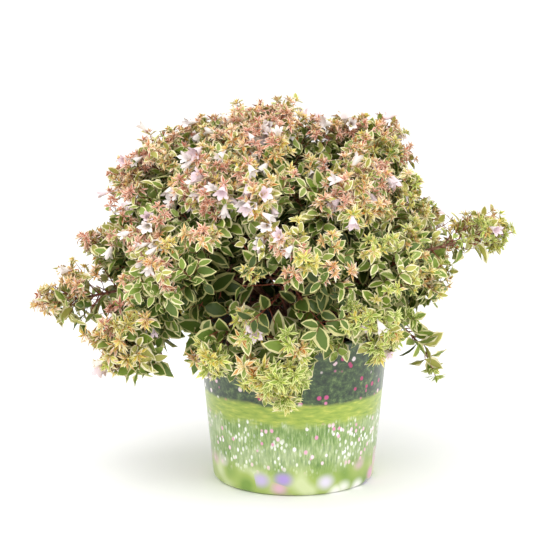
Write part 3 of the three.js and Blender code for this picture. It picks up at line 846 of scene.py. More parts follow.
def place_on(batch, distance):
    """The point at a distance along each shoot, on its bend."""
    share = (distance / batch.lengths)[:, None]
    return batch.points + batch.along * np.reshape(distance, (-1, 1)) + batch.bend * share**2


def heading(batch):
    """Which way each shoot looks at its end."""
    return unit(batch.along * batch.lengths[:, None] + 2 * batch.bend)


def beside(batch, spin, angle):
    """A direction that leaves each shoot at an angle, turned about it by spin."""
    spin, angle = np.reshape(spin, (-1, 1)), np.reshape(angle, (-1, 1))
    sideways = np.cos(spin) * batch.side + np.sin(spin) * batch.other
    return unit(batch.along * np.cos(angle) + sideways * np.sin(angle))


def twig_edge(owner, points, along):
    """How far short of the open air each twig stays: by clump, and a few sprigs stand out."""
    numbers = np.arange(len(owner))
    ends = points + along * run_to(owner, points, along)[:, None]
    clump = np.array([noise.noise(Vector(end) / (EDGE["clump"] * MM)) for end in ends])
    usual = EDGE["usual"] * MM + jitter(EDGE["stray"] * MM, numbers, 5)
    edge = np.where(deal(numbers, 4) < EDGE["close_share"], EDGE["close"] * MM, usual)
    swing = fade("top_twigs_lower", ends[:, 2]) - clump * EDGE["swing"] * MM
    edge = np.maximum(edge + swing * ~OPEN[owner], EDGE["least"] * MM)
    sprigs = inside(ends, *LEFT_SHOULDER) * (deal(numbers, 23) < EDGE["sprigs"])
    edge = edge - EDGE["sprigs_out"] * MM * sprigs
    under, over = EDGE["fuller"]
    upper = np.interp(along[:, 2], (-EDGE["tilt"], EDGE["tilt"]), (under * MM, over * MM))
    return edge - upper * OPEN[owner] * (CENTRES[owner, 0] > 0)


def grow_twigs():
    """Twigs in crossed pairs along each mass's stem, each run out to the edge of the mass's space."""
    borne = []
    for index, mass in enumerate(limbs()):
        start = mass.entry + SEAT_GAP / path_length(mass.path)
        stem = (1 - start) * STEM_SHARE
        outward = unit(mass.centre - CROWN_HEART)
        for order, share in enumerate(TWIG_NODES):
            t = start + stem * share
            point, along = bezier(mass.path, t), bezier_along(mass.path, t)
            node = order / 2
            axis = np.array([[1.0, 0.0, 0.0]]) if abs(along[0, 2]) > 0.9 else UP[None]
            side = square_to(axis, along)
            stem_frame = SimpleNamespace(along=along, side=side, other=np.cross(side, along))
            spin = node * math.pi / 2 + TWIG["spin"] + jitter(TWIG["stray"], index, order, 1)
            angle = (TWIG["angle"] - TWIG["closing"] * node) * DEGREE
            for half in (0, 1):
                way = beside(stem_frame, spin + math.pi * half, angle)
                if float(way[0] @ outward) >= INWARD:
                    borne.append((index, point[0], way[0]))
        end = bezier(mass.path, start + (1 - start) * STEM_END)
        borne.append((index, end[0], mass.growth))
    owner, points, along = (np.array(column) for column in zip(*borne))
    edge = twig_edge(owner, points, along)
    lengths = room(owner, points, along, edge)
    lengths = np.where(LONE[owner], np.minimum(lengths, LONE_SHOOT["side"]), lengths)
    bare = bareness(points + along * lengths[:, None])
    lengths = np.maximum(lengths * (1 - TWIG["in_hollow"] * bare), TWIG["least"] * MM)
    # Twigs bend up, and down in the masses that hang.
    bend = UP * (lengths * TWIG["bend"] * np.sign(GROWTHS[owner, 2] - HANGING))[:, None]
    return shoots(owner, points, along, lengths, bend, np.arange(len(owner)), edge)


def grow_twiglets(twigs, gap, longest):
    """Twiglets in pairs along each twig, by the same rule, as far as the mass's space lets them."""
    batches = []
    for order in range(TWIGLET["pairs"]):
        distance = gap * (order + 1)
        bearing = picked(twigs, twigs.lengths > distance + TWIGLET["least"] * MM)
        if not len(bearing.points):
            continue
        at = place_on(bearing, distance)
        spin = order * math.pi / 2 + jitter(TWIGLET["stray"], bearing.spray, order, 7)
        for half in (0, 1):
            way = beside(bearing, spin + math.pi * half + math.pi / 4, TWIGLET["angle"] * DEGREE)
            edge = np.maximum(bearing.edge - TWIGLET["nearer"] * MM, TWIGLET["edge"] * MM)
            edge = edge + jitter(TWIGLET["edge_stray"] * MM, bearing.spray, order, half, 6)
            share = TWIGLET["least_share"]
            own_longest = longest * (share + (1 - share) * deal(bearing.spray, order, half, 8))
            lengths = np.minimum(room(bearing.owner, at, way, edge), own_longest)
            borne = deal(bearing.spray, order, half, 19) < FULLNESS[bearing.owner]
            bare = bareness(at + way * lengths[:, None]) >= TWIGLET["bare_from"]
            bend = TWIGLET["follow"] * heading(bearing) + TWIGLET["rise"] * to_light(at)
            bend = bend * lengths[:, None]
            batch = shoots(bearing.owner, at, way, lengths, bend, bearing.spray, edge)
            batches.append(picked(batch, (lengths > TWIGLET["least"] * MM) & borne & ~bare))
    return joined(batches)


def grow_spurs(tips):
    """Short side shoots in crossed pairs below each open tip, where they look out of the crown."""
    batches = []
    for order, back in enumerate(SPUR["back"]):
        bearing = picked(tips, tips.lengths > back * MM + SPUR["past"] * MM)
        at = place_on(bearing, bearing.lengths - back * MM)
        spin = order * math.pi / 2 + jitter(SPUR["stray"], bearing.spray, bearing.keys, order, 17)
        for half in (0, 1):
            way = beside(bearing, spin + math.pi * half, SPUR["angle"] * DEGREE)
            own_share = deal(bearing.spray, bearing.keys, order, half, 18)
            own_longest = (SPUR["short"] + SPUR["long"] * own_share) * MM
            free = room(bearing.owner, at, way, np.minimum(bearing.edge, SPUR["edge"] * MM))
            lengths = np.minimum(free, own_longest)
            outward = dot(way, unit(at - CROWN_HEART))[:, 0] > SPUR["outward"]
            batch = shoots(bearing.owner, at, way, lengths, way * 0, bearing.spray, bearing.edge)
            batches.append(picked(batch, (lengths > SPUR["least"] * MM) & outward))
    return joined(batches)


def ranged(name, *keys):
    """Numbers dealt evenly over a line of LEAF_RANGE."""
    least, span = LEAF_RANGE[name]
    return least + span * deal(*keys)


def leaves_on(batch, at, spin, angle, lengths, share, stray, rank):
    """A pair of leaves at one place on each shoot; the rank of a pair names its draws."""
    pair = []
    for half in (0, 1):
        keys = (batch.spray, batch.keys, rank, half)
        turn = spin + math.pi * half + jitter(LEAF_STRAY["turn"], *keys, 15)
        along = beside(batch, turn, angle + jitter(LEAF_STRAY["angle"], *keys, 19))
        size = lengths * ranged("size", *keys, 9)
        leaf = SimpleNamespace(
            owner=batch.owner,
            spray=batch.spray,
            keys=batch.keys,
            rank=np.full(len(size), rank),
            points=at,
            along=along,
            facing=facing_of(at, along, stray, *keys),
            lengths=size,
            widths=size * share * ranged("width", *keys, 10),
            droop=jitter(LEAF_STRAY["droop"], *keys, 11) + LEAF_MIDDLE["droop"],
            fold=jitter(LEAF_STRAY["fold"], *keys, 12) + LEAF_MIDDLE["fold"],
            ripple=jitter(LEAF_STRAY["ripple"], *keys, 16),
            margin=jitter(LEAF_STRAY["margin"], *keys, 17) + LEAF_MIDDLE["margin"],
            skew=jitter(LEAF_STRAY["skew"], *keys, 18),
        )
        pair.append(leaf)
    return pair


def leaf_chance(leaves):
    """How likely each grown leaf is to be there: less so deep inside, in a hollow and before the rim."""
    hollow = bareness(leaves.points, LEAVES_LOST["shade"])
    chance = fade("leaves_inside", leaves.hidden) * np.maximum(1 - hollow, 0)
    chance = chance * (1 - LEAVES_LOST["rim"] * inside(leaves.points, *FRONT_RIM))
    return chance * (1 - inside_any(leaves.points, RIM_GAPS)) * LEAFINESS[leaves.owner]


def grow_leaves(twigs, twiglets, rule):
    """Grown leaves in crossed pairs, along the twigs and then along the twiglets."""
    batches = []
    for batch, gap, (first, count) in (
        (twigs, rule.twiglet_gap, LEAF_PAIRS["twigs"]),
        (twiglets, rule.leaf_gap, LEAF_PAIRS["twiglets"]),
    ):
        for order in range(count):
            distance = first * MM + gap * order
            bearing = picked(batch, batch.lengths > distance)
            if not len(bearing.points):
                continue
            at = place_on(bearing, distance)
            spin = math.pi / 2 * order + jitter(LEAF["stray"], bearing.spray, bearing.keys, order, 13)
            lost = LEAF["shorter"] * distance / np.maximum(bearing.lengths, distance)
            lengths = rule.leaf_length * (1 - lost)
            # Leaves in the shade of the crown grow larger.
            lengths = lengths * fade("leaf_size_in_shade", growth_over(at, to_light(at)))
            lengths = lengths * fade("leaf_size_low_down", at[:, 2])
            lengths = lengths * np.where(LONE[bearing.owner], LONE_SHOOT["leaves"], 1)
            angle, rank = LEAF["angle"] * DEGREE, LEAF_RANK + order
            batches += leaves_on(bearing, at, spin, angle, lengths, LEAF["width"], LEAF["facing"], rank)
    leaves = joined(batches)
    leaves.hidden = cover(leaves.owner, leaves.points)
    leaves.shaded = growth_over(leaves.points, to_light(leaves.points))
    # Painted shade: the front's hollow and the skirt darken the leaves' colours as if more growth lay over
    # them
    front = inside(leaves.points, *FRONT_SHADE, SHADE_SPREAD) * SHADE_DEPTH["front"] * ~OPEN[leaves.owner]
    skirt = in_skirt_shade(leaves.owner, leaves.points) * SHADE_DEPTH["skirt"]
    leaves.shaded = leaves.shaded + (front + skirt) * MM
    return picked(leaves, deal(np.arange(len(leaves.points)), 14) < leaf_chance(leaves))


def grow_tufts(tips, rule):
    """A star of narrow young leaves at each tip: crossed pairs that close up towards the middle."""
    at = place_on(tips, tips.lengths)
    ends = SimpleNamespace(**vars(tips))
    ends.along = heading(tips)
    ends.side = square_to(tips.side, ends.along)
    ends.other = np.cross(ends.side, ends.along)
    batches = []
    for order in range(rule.bract_pairs):
        share = order / (rule.bract_pairs - 1)
        angle = (YOUNG["angle"] - YOUNG["closing"] * share) * DEGREE
        own_size = ranged("young_size", ends.spray, ends.keys, YOUNG_SIZE_DRAW + order)
        lengths = rule.bract_length * (1 - YOUNG["shorter"] * share) * own_size
        # Low shoots carry longer young leaves.
        lengths = lengths * fade("young_size_low_down", at[:, 2])
        stray = jitter(YOUNG["stray"], ends.spray, ends.keys, YOUNG_TURN_DRAW + order)
        spin = order * YOUNG_TURN + stray
        rank = YOUNG_RANK + order
        for leaf in leaves_on(ends, at, spin, angle, lengths, YOUNG["width"], YOUNG["facing"], rank):
            # A young leaf turns its upper face to the tuft's axis.
            leaf.facing = square_to(ends.along + YOUNG_OWN_FACING * leaf.facing, leaf.along)
            batches.append(leaf)
    return joined(batches)


def tint(tufts):
    """How far each young leaf has turned, by its spray: from yellow-green at 0 to rose at 1."""
    height = np.clip((tufts.points[:, 2] - TINT["foot"] * MM) / (TINT["rise"] * MM), 0, 1)
    left = np.clip(TINT["middle"] - tufts.points[:, 0] / (TINT["width"] * MM), 0, 1)
    hanging = (GROWTHS[tufts.owner, 2] < HANGING) * (left < TINT["far_left"])
    turned = TINT["by_height"] * height + TINT["by_left"] * left - TINT["hanging"] * hanging + TINT["all"]
    turned = turned - TINT["inner"] * ((tufts.rank - YOUNG_RANK) / 6 - 0.5)
    turned = turned + jitter(TINT["spray"], tufts.spray, 71)
    turned = turned + jitter(TINT["leaf"], tufts.spray, tufts.keys, tufts.rank, 72)
    return np.clip(turned, 0, LAST_SHARE)


def shade_of(leaves):
    """How dark each grown leaf is, by its spray: from golden at 0, in the light, to deep green at 1,
    partly its own colour and partly painted shade.
    """
    depth = np.maximum(leaves.hidden / (SHADE["hidden"] * MM), leaves.shaded / (SHADE["shaded"] * MM))
    # Light gets into an open mass, so its leaves get less painted shade and stay paler.
    depth = depth * np.where(OPEN[leaves.owner], SHADE["open"], SHADE["full"]) + SHADE["all"]
    # Painted shade in the skirt, and more of it low down on the crown.
    depth = depth + SHADE["skirt"] * in_skirt_shade(leaves.owner, leaves.points)
    depth = depth + fade("painted_shade_low_down", leaves.points[:, 2])
    # Painted light: the flanks stand in more light than the middle does, so their leaves are painted
    # paler.
    depth = depth - fade("painted_light_aside", aside(leaves.points))
    return np.clip(depth + jitter(SHADE["spray"], leaves.spray, 91), 0, LAST_SHARE)


def tuft_chance(tips, young_cover):
    """How likely each tip is to bear a tuft: where the light is, and at the outer ends of the masses."""
    ends = place_on(tips, tips.lengths)
    opened, front = OPEN[tips.owner], inside(ends, *FRONT_SHADE)
    lit = fade("tufts_in_shade", growth_over(ends, to_light(ends)))
    reached = dot(ends - CENTRES[tips.owner], GROWTHS[tips.owner])[:, 0] / HALVES[tips.owner, 0]
    under = (CENTRES[tips.owner, 2] - ends[:, 2]) / HALVES[tips.owner, 1]
    held = np.where(GROWTHS[tips.owner, 2] > HANGING, np.interp(under, *TUFTS_UNDER), 1)
    lit = np.maximum(lit, np.interp(reached, TUFTS_REACH, (0, 1)) * held)
    lit = lit * (1 - inside_any(ends, HOLLOWS)) * (1 - front)
    lit = lit * (1 - TUFTS["skirt"] * in_skirt_shade(tips.owner, ends))
    lit = np.maximum(lit, TUFTS["rim"] * inside(ends, *FRONT_RIM))
    lit = np.where(opened, np.maximum(lit, TUFTS["open"]), lit)
    lit = np.where(LONE[tips.owner], reached > LONE_SHOOT["tufts_from"], lit)
    lit = lit * (1 - inside(ends, *FRONT_SHADE, SHADE_SPREAD) * ~opened)
    lit = lit * (1 - TUFTS["gaps"] * inside_any(ends, RIM_GAPS))
    return lit * (cover(tips.owner, ends) < young_cover)


def flower_order(tips):
    """The tips in the order in which they flower: in clusters of two or three, mostly high on the left."""
    place = place_on(tips, tips.lengths)
    few = fade("few_flowers_low", place[:, 2]) * fade("few_flowers_right", place[:, 0])
    # None stands above the shoots at the very top.
    few = few + FLOWER["rare_at_top"] * (place[:, 2] > BOX_HIGH[2] - FLOWER["top"])
    cluster = np.floor(place / FLOWER["cluster"]).astype(int)
    rare = deal(cluster[:, 0], cluster[:, 1], cluster[:, 2], 81)
    return np.argsort((0.5 * rare + 0.5 * deal(tips.spray, tips.keys, 81)) * few)


@functools.cache
def grow(rule_values):
    """The whole shrub's growth from its settings: shoots, leaves, tufts and the places of flowers."""
    rule = SimpleNamespace(**dict(rule_values))
    twigs = grow_twigs()
    twiglets = grow_twiglets(twigs, rule.twiglet_gap, rule.twiglet_length)
    # The twiglets of a twig fall into three sprays, which turn colour apart.
    twiglets.spray = twiglets.spray * 16 + np.arange(len(twiglets.spray)) % 3
    leaves = grow_leaves(twigs, twiglets, rule)
    tips = joined([twigs, twiglets])
    tips = picked(tips, deal(tips.spray, tips.keys, 15) < tuft_chance(tips, rule.young_cover))
    spurs = grow_spurs(tips)
    tips = joined([tips, spurs])
    flowers = picked(tips, flower_order(tips)[: rule.flowers])
    tufts = grow_tufts(tips, rule)
    return SimpleNamespace(
        twigs=twigs, twiglets=twiglets, spurs=spurs, leaves=leaves, tufts=tufts, flowers=flowers
    )


def growth():
    """The shrub's growth, from the settings as they stand."""
    settings = bpy.context.scene.abelia_growth
    names = sorted(GrowthSettings.__annotations__)
    return grow(tuple((name, getattr(settings, name)) for name in names))


def blade_shape(stations, margin, inner_tip):
    """A leaf's points and its faces, margins apart. A point has its shares of the length and of the half
    width, the share that the margin takes off that, and how it ripples."""
    points = [(0.0, 0.0, 0.0, 0.0)]
    for row, (place, half) in enumerate(stations):
        wave = (-1) ** row
        points += [(place, -half, 0, wave), (place, -half, margin, 0), (place, 0, 0, 0)]
        points += [(place, half, margin, 0), (place, half, 0, -wave)]
    points += [(inner_tip, 0.0, 0.0, 0.0), (1.0, 0.0, 0.0, 0.0)]
    inner, tip = len(points) - 2, len(points) - 1
    margins, blades = [], []
    for i in range(4):
        kind = margins if i in (0, 3) else blades
        kind.append((0, i + 2, i + 1))
        for row in range(len(stations) - 1):
            a = 1 + 5 * row + i
            kind += [(a, a + 1, a + 6), (a, a + 6, a + 5)]
    last = 1 + 5 * (len(stations) - 1)
    blades += [(inner, last + 1, last + 2), (inner, last + 2, last + 3)]
    margins += [(tip, last, last + 1), (tip, last + 1, inner)]
    margins += [(tip, inner, last + 3), (tip, last + 3, last + 4)]
    which = [0] * len(blades) + [1] * len(margins)
    return np.array(points), np.array(blades + margins), np.array(which)


def blades(leaves, outline):
    """All the leaves of a batch as one set of points, triangles and material numbers."""
    shape, faces, which = blade_shape(**outline)
    u, v, inset, wave = shape.T[:, None, :, None]
    length, width = leaves.lengths[:, None, None], leaves.widths[:, None, None] / 2
    v = v * (1 - inset * (leaves.margin[:, None, None] + leaves.skew[:, None, None] * np.sign(v)))
    across = np.cross(leaves.along, leaves.facing)[:, None, :]
    rise = leaves.fold[:, None, None] * np.abs(v) * width - leaves.droop[:, None, None] * u**2 * length
    rise = rise + wave * leaves.ripple[:, None, None] * width
    points = (
        leaves.points[:, None, :]
        + leaves.along[:, None, :] * u * length
        + across * v * width
        + leaves.facing[:, None, :] * rise
    )
    count, each = len(leaves.points), len(shape)
    numbered = faces[None] + (np.arange(count) * each)[:, None, None]
    return points.reshape(-1, 3), numbered.reshape(-1, 3), np.tile(which, count)


def tubes(ways, radii, sides):
    """Closed tubes along many ways of the same number of points, as points and faces."""
    count, steps, _ = ways.shape
    along = unit(np.gradient(ways, axis=1))
    side = np.where(np.abs(along[:, 0, 2:]) > 0.9, [1.0, 0.0, 0.0], UP)
    turn = np.arange(sides) * 2 * math.pi / sides
    rings = []
    for step in range(steps):
        side = square_to(side, along[:, step])
        other = np.cross(along[:, step], side)
        ring = np.cos(turn)[None, :, None] * side[:, None] + np.sin(turn)[None, :, None] * other[:, None]
        rings.append(ways[:, step, None] + radii[:, step, None, None] * ring)
    points = np.stack(rings, axis=1)
    i = np.arange(sides)
    first = (np.arange(steps - 1) * sides)[:, None]
    after = (i + 1) % sides
    wall = np.stack([first + i, first + after, first + sides + after, first + sides + i], -1)
    start = np.arange(count) * steps * sides
    faces = (wall.reshape(1, -1, 4) + start[:, None, None]).reshape(-1, 4).tolist()
    faces += (start[:, None] + i[::-1]).tolist()
    faces += (start[:, None] + (steps - 1) * sides + i).tolist()
    return points.reshape(-1, 3), faces


def turned(profile, sides):
    """Turns (radius, height) points about the Z axis; points on the axis close the ends. Returns points,
    faces, and for each face its band and its place round it."""
    points, rows = [], []
    for radius, height in profile:
        count = sides if radius > 1e-9 else 1
        rows.append([len(points) + i % count for i in range(sides)])
        turns = [2 * math.pi * i / sides for i in range(count)]
        points += [(radius * math.sin(turn), -radius * math.cos(turn), height) for turn in turns]
    faces, bands = [], []
    for band, (low, high) in enumerate(zip(rows, rows[1:])):
        for i in range(sides):
            j = (i + 1) % sides
            ring = [low[i], low[j], high[j], high[i]]
            faces.append(tuple(dict.fromkeys(ring)))
            bands.append((band, i))
    return points, faces, bands


def pot_radius(height):
    """The pot's outer radius at a height."""
    return POT_BASE_RADIUS + (POT_RIM_RADIUS - POT_BASE_RADIUS) * height / POT_HEIGHT


def heel_arc(inset, steps):
    """The rounded edge between the pot's underside and its wall."""
    middle = (pot_radius(POT_HEEL) - POT_HEEL, POT_HEEL)
    radius = POT_HEEL - inset
    turns = [math.pi / 2 * (i / steps - 1) for i in range(steps + 1)]
    return [(middle[0] + radius * math.cos(t), middle[1] + radius * math.sin(t)) for t in turns]


def bare_plastic(colour):
    """Injection-moulded polypropylene: matt grey, with a fine moulded grain that breaks the gloss."""
    patch = (100 / 3 * MM, {"Detail": 3})
    grain = (0.9 * MM, {"Detail": 2})
    stops = ((0.3, colour), (0.7, "#9da2aa"))
    return mottled(
        "moulded_polypropylene", patch, stops, 0.1 * MM, grain, strength=0.25, Roughness=0.5, IOR=1.49
    )


def printed_film():
    """In-mould label: a glossy film, printed with a generic meadow, a hedge and blurred blooms."""
    material, tree, bsdf = surface("printed_label_film", Roughness=0.32, IOR=1.5, Coat_Weight=0.25)
    girth = 2 * math.pi * (POT_RIM_RADIUS + POT_BASE_RADIUS) / 2
    uv = add_node(tree, "ShaderNodeUVMap", uv_map="Print").outputs["UV"]
    sides = {0: uv, 1: (girth / MM, POT_HEIGHT / MM, 1)}
    flat = add_node(tree, "ShaderNodeVectorMath", sides, operation="MULTIPLY").outputs["Vector"]
    height = add_node(tree, "ShaderNodeSeparateXYZ", {"Vector": flat}).outputs["Y"]

    def pattern(kind, size, stretch=(1, 1, 1), **settings):
        """What a texture of a size gives at each place of the flat print."""
        where = add_node(tree, "ShaderNodeVectorMath", {0: flat, 1: stretch}, operation="MULTIPLY")
        given = {"Vector": where.outputs["Vector"], "Scale": 1 / size, **settings}
        return add_node(tree, kind, given).outputs

    def blooms(spacing, size, share, stretch=(1, 1, 1), full=0.6):
        """1 inside a round bloom, in a share of a scattered grid's cells, and a number for its hue."""
        cells = pattern("ShaderNodeTexVoronoi", spacing, stretch)
        rim = {"Value": cells["Distance"], "From Min": size, "From Max": size * full}
        spot = add_node(tree, "ShaderNodeMapRange", rim, interpolation_type="SMOOTHSTEP")
        dealt = add_node(tree, "ShaderNodeSeparateColor", {"Color": cells["Color"]}).outputs
        held = add_node(tree, "ShaderNodeMath", {0: dealt["Red"], 1: share}, operation="LESS_THAN")
        both = {0: spot.outputs["Result"], 1: held.outputs[0]}
        return add_node(tree, "ShaderNodeMath", both, operation="MULTIPLY").outputs[0], dealt["Green"]

    def above(edge, soft, wander, size):
        """0 below a wandering edge at a height, 1 above it."""
        cloud = pattern("ShaderNodeTexNoise", size, **CLOUD)["Fac"]
        swing = add_node(tree, "ShaderNodeMath", {0: cloud, 1: wander * 2}, operation="MULTIPLY")
        moved = add_node(tree, "ShaderNodeMath", {0: height, 1: swing.outputs[0]}, operation="ADD")
        low = edge + wander - soft / 2
        rise = {"Value": moved.outputs[0], "From Min": low, "From Max": low + soft}
        risen = add_node(tree, "ShaderNodeMapRange", rise, interpolation_type="SMOOTHSTEP")
        return risen.outputs["Result"]

    def stacked(layers):
        """Colours laid over one another, each where its mask is 1; the lowest needs no mask."""
        (colour, _), *uppers = layers
        for upper, mask in uppers:
            given = {"Factor": mask, "A": colour, "B": upper}
            colour = add_node(tree, "ShaderNodeMix", given, data_type="RGBA").outputs["Result"]
        return colour

    bands = []
    for band in PRINT_BANDS:
        layers = []
        for layer in band["layers"]:
            if "bloom" in layer:
                mask, hue = blooms(**layer["bloom"])
            else:
                hue = pattern("ShaderNodeTexNoise", **{**CLOUD, **layer["cloud"]})["Fac"]
                mask = layer.get("strength")
            if "clumps" in layer:
                cloud = pattern("ShaderNodeTexNoise", **{**CLOUD, **layer["clumps"]})["Fac"]
                clumps = add_node(tree, "ShaderNodeMapRange", {"Value": cloud, **CLUMP_EDGE})
                both = {0: mask, 1: clumps.outputs["Result"]}
                mask = add_node(tree, "ShaderNodeMath", both, operation="MULTIPLY").outputs[0]
            ink = add_node(tree, "ShaderNodeValToRGB", {"Fac": hue}, layer["inks"]).outputs["Color"]
            layers.append((ink, mask))
        bands.append((stacked(layers), band["edge"] and above(*band["edge"])))
    tree.links.new(stacked(bands), bsdf.inputs["Base Color"])
    return material


def make_pot(settings):
    """The pot's shell, printed outside and bare inside, with a rounded heel and a rolled lip."""
    outside = [(0.0, 0.0), *heel_arc(0, 8)]
    lip_foot = POT_HEIGHT - POT_LIP["height"]
    levels = np.linspace(POT_HEEL, lip_foot, POT_LEVELS)[1:]
    outside += [(pot_radius(height), height) for height in levels]
    outside += [
        (pot_radius(lip_foot) + POT_LIP["width"], lip_foot + POT_LIP["slope"]),
        (POT_RIM_RADIUS + POT_LIP["width"], POT_HEIGHT - POT_LIP["slope"]),
        (POT_RIM_RADIUS + POT_LIP["width"] - POT_LIP["round"], POT_HEIGHT),
    ]
    inside = [(POT_RIM_RADIUS - POT_WALL, POT_HEIGHT), *reversed(heel_arc(POT_WALL, 6)), (0.0, POT_WALL)]
    points, faces, bands = turned([*outside, *inside], settings.sides)
    printed_to = len(outside) - 1
    which = [0 if 1 <= band < printed_to else 1 for band, _ in bands]
    pot = piece("pot_shell", points, faces, [printed_film(), bare_plastic(settings.inside)], which)
    heights = [height / POT_HEIGHT for _, height in (*outside, *inside)]
    uv = pot.data.uv_layers.new(name="Print").uv
    for face, (band, i) in zip(pot.data.polygons, bands):
        # The film's seam is at the back, so its middle faces the front.
        turns = {0: i, 1: i + 1, 2: i + 1, 3: i}
        for corner, loop in enumerate(face.loop_indices):
            if len(face.vertices) < 4:
                continue
            along = (turns[corner] / settings.sides + 0.5) % 1 or float(corner in (1, 2))
            uv[loop].vector = (along, heights[band + (corner > 1)])
    drill(pot)
    return settle(pot, "pot", "pot")


def drill(pot):
    """Cuts the drain holes through the pot's floor."""
    points, faces = [], []
    for hole in range(DRAIN["holes"]):
        turn = hole * 2 * math.pi / DRAIN["holes"]
        place = np.array([DRAIN["ring"] * math.cos(turn), DRAIN["ring"] * math.sin(turn), 0])
        way = np.array([[place - UP * 3 * POT_WALL, place, place + UP * 3 * POT_WALL]])
        made, walls = tubes(way, np.full((1, 3), DRAIN["radius"]), DRAIN["sides"])
        faces += [[corner + len(points) for corner in face] for face in walls]
        points += made.tolist()
    cutter = piece("drill", points, faces, [])
    cut = pot.modifiers.new("drain", "BOOLEAN")
    cut.operation = "DIFFERENCE"
    cut.solver = "EXACT"
    cut.object = cutter
    bake_modifiers(pot)
    bpy.data.objects.remove(cutter)


def bake_modifiers(made):
    """Turns a piece's evaluated result into its plain mesh."""
    evaluated = made.evaluated_get(bpy.context.evaluated_depsgraph_get())
    mesh = bpy.data.meshes.new_from_object(evaluated)
    made.modifiers.clear()
    made.data = mesh


def crumbly_soil(colour):
    """Peaty potting soil: dark, dull crumbs with paler fibres."""
    stops = ((0.35, "#1f1711"), (0.55, colour), (0.75, "#6b5440"))
    return mottled("peat_potting_soil", (4 * MM, {"Detail": 5}), stops, 1.5 * MM, Roughness=0.95, IOR=1.4)


def new_tree(name, **sizes):
    """A new Geometry Nodes tree, with a geometry and named sizes as inputs; returns it and its inputs."""
    tree = bpy.data.node_groups.new(name, "GeometryNodeTree")
    for label, kind in {"Geometry": "Geometry", **sizes}.items():
        tree.interface.new_socket(label, in_out="INPUT", socket_type=f"NodeSocket{kind}")
    tree.interface.new_socket("Geometry", in_out="OUTPUT", socket_type="NodeSocketGeometry")
    return tree, add_node(tree, "NodeGroupInput").outputs


def set_on(tree, points, template, turn, size, material, kept=None):
    """Sets a shape on each point, and ends the tree in plain meshes with what is kept and a material."""
    shape = add_node(tree, "GeometryNodeObjectInfo", {"Object": template}).outputs["Geometry"]
    placed = {"Points": points, "Instance": shape, "Rotation": turn, "Scale": size}
    each = add_node(tree, "GeometryNodeInstanceOnPoints", placed).outputs["Instances"]
    plain = add_node(tree, "GeometryNodeRealizeInstances", {"Geometry": each}).outputs["Geometry"]
    if kept is not None:
        both = add_node(tree, "GeometryNodeJoinGeometry", {"Geometry": plain})
        tree.links.new(kept, both.inputs["Geometry"])
        plain = both.outputs["Geometry"]
    painted = add_node(tree, "GeometryNodeSetMaterial", {"Geometry": plain, "Material": material})
    add_node(tree, "NodeGroupOutput", {"Geometry": painted.outputs["Geometry"]})


def scatter_tree(material, template):
    """Scatters crumbs over a surface, by density and seed, and keeps the surface with them."""
    tree, given = new_tree("soil_crumbs", Density="Float", Seed="Int")
    upward = add_node(tree, "GeometryNodeInputNormal").outputs["Normal"]
    lift = add_node(tree, "ShaderNodeSeparateXYZ", {"Vector": upward}).outputs["Z"]
    on_top = add_node(tree, "FunctionNodeCompare", {"A": lift, "B": 0.5}, operation="GREATER_THAN")
    where = {"Mesh": given["Geometry"], "Selection": on_top.outputs["Result"]}
    dealt = {"Density": given["Density"], "Seed": given["Seed"]}
    spots = add_node(tree, "GeometryNodeDistributePointsOnFaces", {**where, **dealt})
    turns = {"Max": (math.tau, math.tau, math.tau), "Seed": given["Seed"]}
    turn = add_node(tree, "FunctionNodeRandomValue", turns, data_type="FLOAT_VECTOR")
    size = add_node(tree, "FunctionNodeRandomValue", {**CRUMB_SIZES, "Seed": given["Seed"]})
    turn, size = turn.outputs["Value"], size.outputs[1]
    set_on(tree, spots.outputs["Points"], template, turn, size, material, kept=given["Geometry"])
    return tree


def run_tree(made, tree, **values):
    """Runs a node tree on a piece, with its inputs set by identifier, and keeps the plain mesh."""
    modifier = made.modifiers.new(tree.name, "NODES")
    modifier.node_group = tree
    for name, value in values.items():
        modifier[tree.interface.items_tree[name].identifier] = value
    bake_modifiers(made)


def make_soil(settings):
    """The soil: a low lumpy mound that fills the pot, with crumbs of bark scattered over it."""
    clear = POT_WALL + SEAT_GAP
    edge = SOIL_TOP - SOIL_MOUND
    levels = np.linspace(POT_HEEL * 2, edge, SOIL_MESH["wall"])
    wall = [(pot_radius(height) - clear, height) for height in levels]
    reach = pot_radius(edge) - clear
    shares = np.linspace(SOIL_MESH["seam"], 0, SOIL_MESH["top"])
    top = [(reach * share, edge + SOIL_MOUND * (1 - share**2)) for share in shares]
    points, faces, _ = turned([(0.0, clear), *heel_arc(clear, 4), *wall, *top], SOIL_MESH["sides"])
    lumps = []
    for x, y, z in points:
        held = min(1.0, max(0.0, (z - edge) / SOIL_LUMPS["blend"]))
        held = held * (math.hypot(x, y) < reach * SOIL_MESH["flat_from"])
        lump = noise.fractal(Vector((x, y, z)) / SOIL_LUMPS["size"], 1.0, 2.0, 4)
        rise = lump * SOIL_LUMPS["rise"] * MM - SOIL_LUMPS["sunk"] * MM
        lumps.append((x, y, min(z + held * rise, SOIL_TOP)))
    material = crumbly_soil(settings.soil)
    soil = piece("potting_soil", lumps, faces, [material])
    corners, sides, _ = turned(CRUMB_OUTLINE, CRUMB_SIDES)
    template = piece("crumb", corners, sides, [material], smooth=False)
    run_tree(soil, scatter_tree(material, template), Density=settings.crumbs, Seed=SEED)
    bpy.data.objects.remove(template)
    return settle(soil, "soil", "soil")


def stem_bark():
    """Bark of two-year stems: grey-brown skin over red, peeling in fine lengthwise strips."""
    patch = (7 * MM, {"Detail": 4})
    strips = (1.2 * MM, {"Detail": 3, "Roughness": 0.7})
    stops = ((0.35, "#4a2c22"), (0.5, "#7a4a38"), (0.68, "#a5846a"))
    return mottled(
        "peeling_stem_bark", patch, stops, 0.4 * MM, strips, strength=0.8, Roughness=0.7, IOR=1.45
    )


